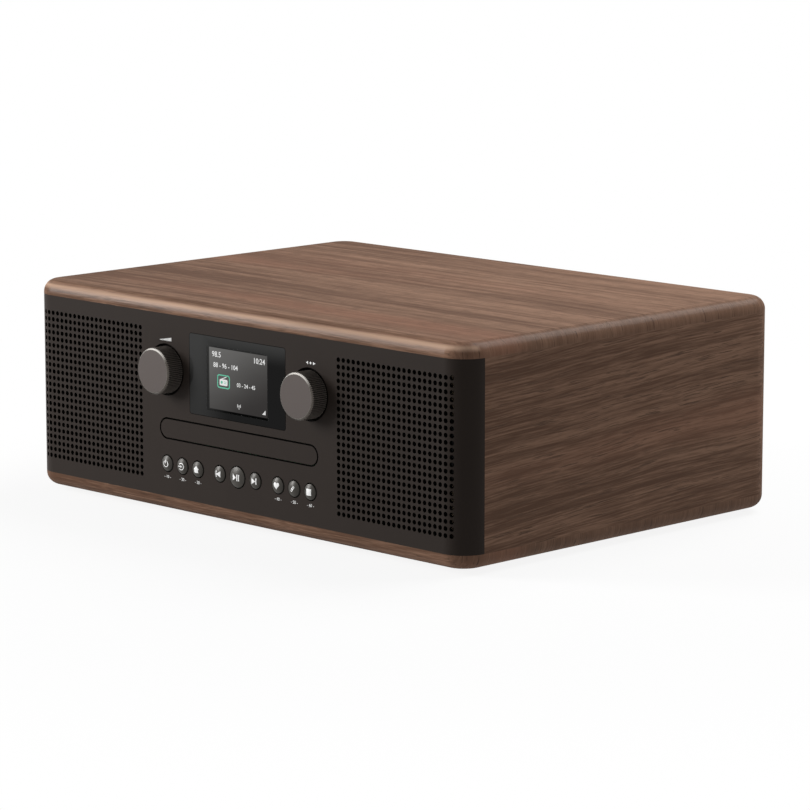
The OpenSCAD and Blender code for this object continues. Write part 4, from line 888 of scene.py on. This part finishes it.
class RADIO_OT_player(bpy.types.Operator):
    """Disc tray, loader and player"""

    bl_idname = "radio.player"
    bl_label = "Disc player"

    def execute(self, context):
        dress(moulded("tray_plastic", (0.02, 0.02, 0.021), 0.42, 2200, 0.03), "disc_tray")
        chassis = moulded("frame_plastic", (0.035, 0.036, 0.038), 0.55, 1500, 0.06)
        dress(chassis, "loader_chassis", "clamp_bridge")
        fine = moulded("puck_plastic", (0.02, 0.02, 0.022), 0.4, 2000, 0.04)
        dress(fine, "clamp_puck", "turntable", "laser_sled")
        nylon = moulded("gear_nylon", (0.66, 0.64, 0.58), 0.45, 1500, 0.03)
        dress(nylon, "loader_gear", "loader_pulley", "sled_gear")
        dress(moulded("belt_rubber", (0.015, 0.015, 0.015), 0.7, 2500, 0.05), "loader_belt")
        sheet = metal("pressed_steel", (0.5, 0.5, 0.51), 0.38, (60, 900, 900))
        dress(sheet, "player_deck", "deck_motors", "loader_motor", "motor_pulley")
        dress(metal("rod_steel", (0.62, 0.62, 0.63), 0.2, (900, 60, 900)), "guide_rods")
        return {"FINISHED"}


class RADIO_OT_speakers(bpy.types.Operator):
    """Drivers behind the grilles"""

    bl_idname = "radio.speakers"
    bl_label = "Speakers"

    def execute(self, context):
        dress(moulded("basket_steel", (0.02, 0.02, 0.021), 0.45, 1400, 0.05), "speaker_left", "speaker_right")
        for node in ("cone_left", "cone_right"):
            dress(self.paper(node), node)
        return {"FINISHED"}

    def paper(self, node):
        """Pressed paper with rings round its axis and short fibres."""
        f = Finish(node + "_paper")
        rings = (f.off_axis(middle(node)) * TURN / (3.2 * MM)).wave() * 0.5 + 0.5
        fibre = f.noise(f.place, 1400, 4, 0.7)
        surface = f.mix(fibre, (0.018, 0.018, 0.018), (0.05, 0.049, 0.047))
        normal = f.bump(rings * 0.5 + fibre, 0.12 * MM, 0.5)
        return f.done(f.shader(surface, 0.85, Normal=normal))


class RADIO_OT_electronics(bpy.types.Operator):
    """Circuit boards and the power supply"""

    bl_idname = "radio.electronics"
    bl_label = "Electronics"

    def execute(self, context):
        dress(self.board("front_lacquer"), "front_board")
        low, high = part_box("main_board")
        heat_sink, tuner = low.x + 46 * MM, high.x - 42 * MM
        dress(self.board("main_lacquer", low.z, (heat_sink, tuner)), "main_board")
        low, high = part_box("power_supply")
        transformer, cooler = low.x + 49 * MM, high.x - 25 * MM
        dress(self.board("supply_lacquer", low.z, (transformer, cooler)), "power_supply")
        return {"FINISHED"}

    def board(self, name, feet=None, plastic=None):
        """Green lacquer with copper tracks along the edges of cells. On a board that lies flat, feet is the
        height of its pillars' feet: the pillars are brass, and the parts on the board are black plastic
        between the two places of plastic along X and bare metal beside them."""
        f = Finish(name)
        cells = f.node("ShaderNodeTexVoronoi", {"feature": "DISTANCE_TO_EDGE"},
                       {"Vector": f.place, "Scale": 190.0})
        tracks = 1 - cells.step(0.05, 0.12)
        cloud = f.noise(f.place, 50, 2, 0.5)
        base = f.mix(cloud, (0.012, 0.085, 0.038), (0.02, 0.13, 0.06))
        surface = f.mix(tracks * 0.55, base, (0.05, 0.24, 0.1))
        normal = f.bump(tracks, 0.04 * MM, 0.4)
        shine = 0.0
        if feet is not None:
            rise = f.z - feet
            parts = rise.step(PILLAR + BOARD + 0.05 * MM, PILLAR + BOARD + 0.15 * MM)
            pillars = 1 - rise.step(PILLAR - 0.15 * MM, PILLAR - 0.05 * MM)
            edge = 0.1 * MM
            black = f.x.step(plastic[0], plastic[0] + edge) * (1 - f.x.step(plastic[1], plastic[1] + edge))
            tin = f.mix(cloud, (0.42, 0.42, 0.43), (0.55, 0.55, 0.56))
            surface = f.mix(parts, surface, f.mix(black, tin, (0.022, 0.022, 0.024)))
            surface = f.mix(pillars, surface, (0.56, 0.4, 0.15))
            shine = (parts * (1 - black) + pillars) * 0.85
        return f.done(f.shader(surface, 0.32 + cloud * 0.1, Normal=normal, Metallic=shine))


class RADIO_OT_back(bpy.types.Operator):
    """Sockets, screws and inlet in the back"""

    bl_idname = "radio.back"
    bl_label = "Back"

    def execute(self, context):
        dress(moulded("socket_plastic", (0.02, 0.02, 0.02), 0.45, 1600, 0.04), "mains_inlet", "rear_jacks")
        steel = metal("screw_steel", (0.3, 0.3, 0.31), 0.32, (1500, 1500, 1500))
        self.screws(steel)
        nickel = metal("contact_nickel", (0.7, 0.68, 0.63), 0.22, (1500, 200, 1500))
        self.contacts(nickel)
        return {"FINISHED"}

    def screws(self, material):
        """Each head is half of a flattened ball, sunk by a cross whose arms are 0.5 mm wide; its shank
        carries rings of thread, in and out by 0.15 mm."""
        low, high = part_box("rear_screws")
        head_r, head_t, shank_r = 2.2 * MM, 1.2 * MM, 1.3 * MM
        pitch, groove, tip = 0.55 * MM, 0.15 * MM, 0.6 * MM
        rim, inner_x = 0.35, 60 * MM
        turn = np.arange(40) * TURN / 40
        reach = np.linspace(0, 1, 15)[:, None]
        x, z = reach * np.cos(turn) * head_r, reach * np.sin(turn) * head_r
        cross = (np.minimum(np.abs(x), np.abs(z)) < 0.25 * MM) & (np.hypot(x, z) < 1.25 * MM)
        rise = head_t * (rim + (1 - rim) * np.sqrt(1 - reach**2)) - np.where(cross, 0.6 * MM, 0)
        ridge = np.arange(24)
        shank = np.stack([-ridge * pitch, shank_r - (ridge % 2) * groove], axis=-1)
        profile = np.vstack([[[0.0, head_r]], shank, [[shank[-1, 0] - tip, 0.0]]])
        along, radius = profile[:, :1], profile[:, 1:]
        rod = np.stack([radius * np.cos(turn), along + 0 * turn, radius * np.sin(turn)], axis=-1)
        screw = np.concatenate([np.stack([x, rise, z], axis=-1), rod])
        screws = Surface()
        for px in (low.x + head_r, -inner_x, inner_x, high.x - head_r):
            for pz in (low.z + head_r, high.z - head_r):
                screws.grid(screw + (px, high.y - head_t, pz), wrap=True)
        screws.made("rear_screw_set", "cabinet", "steel", material, ["rear_screws"])

    def contacts(self, material):
        """Thin rings round the jack holes, and sleeves over the two pins of the inlet."""
        low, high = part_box("rear_jacks")
        half = 4.5 * MM
        inner, outer, edge = 1.95, 3.0, 0.1
        rim = np.array([
            (0.0, inner), (0.12, inner + edge), (0.12, outer - edge), (0.0, outer),
            (-edge, outer), (-edge, inner), (0.0, inner),
        ])
        rims = Surface()
        for x in (low.x + half, high.x - half):
            rims.turned(rim * MM, (x, high.y, high.z - half))
        rims.made("jack_rims", "cabinet", "chrome", material)
        centre, back = middle("mains_inlet"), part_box("mains_inlet")[1].y
        apart, sunk = 4.3 * MM, 2 * MM
        pin, sleeve, length = 1.2, 1.25, 10.8
        nose = [(-0.5, sleeve), (-0.1, 1.1), (0.05, 0.7), (0.05, 0.0)]
        shell = np.array([(-length, pin), (-length, sleeve), *nose])
        pins = Surface()
        for side in (-1, 1):
            pins.turned(shell * MM, (centre.x + side * apart, back - sunk, centre.z), steps=32)
        pins.made("inlet_pins", "cabinet", "steel", material)


class RADIO_OT_aerial(bpy.types.Operator):
    """Rod aerial at the back"""

    bl_idname = "radio.aerial"
    bl_label = "Aerial"

    def execute(self, context):
        chrome = metal("aerial_chrome", (0.72, 0.72, 0.73), 0.1, (30, 900, 900), 0.02, 0.004)
        dress(chrome, "aerial_socket", "aerial_knuckle", "aerial_sleeve", "aerial_rod")
        return {"FINISHED"}


class RADIO_OT_stage(bpy.types.Operator):
    """Pale floor, soft lamps and the camera"""

    bl_idname = "radio.stage"
    bl_label = "Stage"

    def execute(self, context):
        settings = context.scene.radio_stage
        self.floor(settings)
        self.world(settings)
        self.lamp("key_lamp", (0.25, 0.75, 1.05), (0, 0.05, 0.1), 0.9, settings.key)
        self.lamp("fill_lamp", (-1.5, -1.3, 0.65), (0, -0.1, 0.06), 0.8, settings.fill)
        self.lamp("rim_lamp", (-1.45, -1.1, 1.2), (0, -0.1, 0.12), 0.5, settings.rim)
        self.camera(context)
        context.scene.view_settings.view_transform = "Standard"
        return {"FINISHED"}

    def floor(self, settings):
        """Flat floor that fades into the white surroundings away from the radio."""
        half = settings.floor_size / 2
        line = np.linspace(-half, half, 9)
        x, y = np.meshgrid(line, line)
        surface = Surface()
        surface.grid(np.stack([x, y, 0 * x + FLOOR], axis=-1))
        f = Finish("floor_paper")
        speck = f.noise(f.place, 900, 2, 0.5)
        paper = f.shader(f.mix(speck, *tones(settings.floor, 0.01)), 0.9, Specular_IOR_Level=0.1)
        bounced = f.node("ShaderNodeLightPath").out("Is Diffuse Ray")
        paper = f.node("ShaderNodeMixShader", None, {0: bounced, 1: paper, 2: f.white(0.45)})
        distance = (f.x * f.x + f.y * f.y).root()
        share = (distance.step(0.25, 0.7) * 0.12 + 0.88) * f.seen()
        paper = f.node("ShaderNodeMixShader", None, {0: share, 1: paper, 2: f.white(1.0)})
        mesh = surface.mesh("floor")
        mesh.materials.append(f.done(paper))
        floor = bpy.data.objects.new("floor", mesh)
        bpy.context.scene.collection.objects.link(floor)

    def world(self, settings):
        """White to the camera, to gloss and to glass, and a plain grey light for everything else."""
        world = bpy.data.worlds.new("surroundings")
        bpy.context.scene.world = world
        sky = Nodes(world)
        strength = sky.seen() * (1 - settings.ambient) + settings.ambient
        light = sky.node("ShaderNodeBackground", None, {"Color": (1, 1, 1, 1), "Strength": strength})
        sky.node("ShaderNodeOutputWorld", None, {"Surface": light})

    def lamp(self, name, place, target, size, power):
        """Square area lamp turned towards a point."""
        data = bpy.data.lights.new(name, "AREA")
        data.size = size
        data.energy = power
        lamp = bpy.data.objects.new(name, data)
        bpy.context.scene.collection.objects.link(lamp)
        lamp.location = place
        lamp.rotation_euler = (Vector(target) - Vector(place)).to_track_quat("-Z", "Y").to_euler()

    def camera(self, context):
        """Long lens, 45 degrees round to the right and 10 degrees up, a little aside and below the middle."""
        around, up_angle = math.radians(45), math.radians(10)
        level = math.cos(up_angle)
        back = Vector((math.sin(around) * level, -math.cos(around) * level, math.sin(up_angle)))
        right = Vector((math.cos(around), math.sin(around), 0))
        up = back.cross(right)
        distance, aside, below = 2.3598, 0.00382, 0.00887
        body = Vector((0, middle("top_board").y, (TOP + BASE) / 2))
        data = bpy.data.cameras.new("camera")
        data.sensor_width = 36
        data.lens = 167.73
        data.clip_start, data.clip_end = 0.05, 60
        camera = bpy.data.objects.new("camera", data)
        context.scene.collection.objects.link(camera)
        turn = Matrix((right, up, back)).transposed().to_4x4()
        camera.matrix_world = Matrix.Translation(body + back * distance + right * aside - up * below) @ turn
        context.scene.camera = camera


STEPS = (
    RADIO_OT_cabinet, RADIO_OT_front, RADIO_OT_display, RADIO_OT_knobs, RADIO_OT_buttons, RADIO_OT_player,
    RADIO_OT_speakers, RADIO_OT_electronics, RADIO_OT_back, RADIO_OT_aerial, RADIO_OT_stage,
)
SETTINGS = {
    "radio_cabinet": CabinetSettings,
    "radio_front": FrontSettings,
    "radio_controls": ControlSettings,
    "radio_stage": StageSettings,
}


class RADIO_PT_sidebar(bpy.types.Panel):
    """Lists the radio's settings and the steps that dress it"""

    bl_idname = "RADIO_PT_sidebar"
    bl_label = "Tabletop radio"
    bl_space_type = "VIEW_3D"
    bl_region_type = "UI"
    bl_category = "Radio"

    def draw(self, context):
        for name, group in SETTINGS.items():
            box = self.layout.box()
            settings = getattr(context.scene, name)
            for key in group.__annotations__:
                box.prop(settings, key)
        for step in STEPS:
            self.layout.operator(step.bl_idname)


def register():
    for made in (*SETTINGS.values(), *STEPS, RADIO_PT_sidebar):
        bpy.utils.register_class(made)
    for name, group in SETTINGS.items():
        setattr(bpy.types.Scene, name, bpy.props.PointerProperty(type=group))


def unregister():
    for name in SETTINGS:
        delattr(bpy.types.Scene, name)
    for made in (RADIO_PT_sidebar, *reversed(STEPS), *reversed(list(SETTINGS.values()))):
        bpy.utils.unregister_class(made)


def main():
    """Dresses the radio step by step."""
    register()
    for step in STEPS:
        area, name = step.bl_idname.split(".")
        getattr(getattr(bpy.ops, area), name)()


if __name__ == "__main__":
    main()
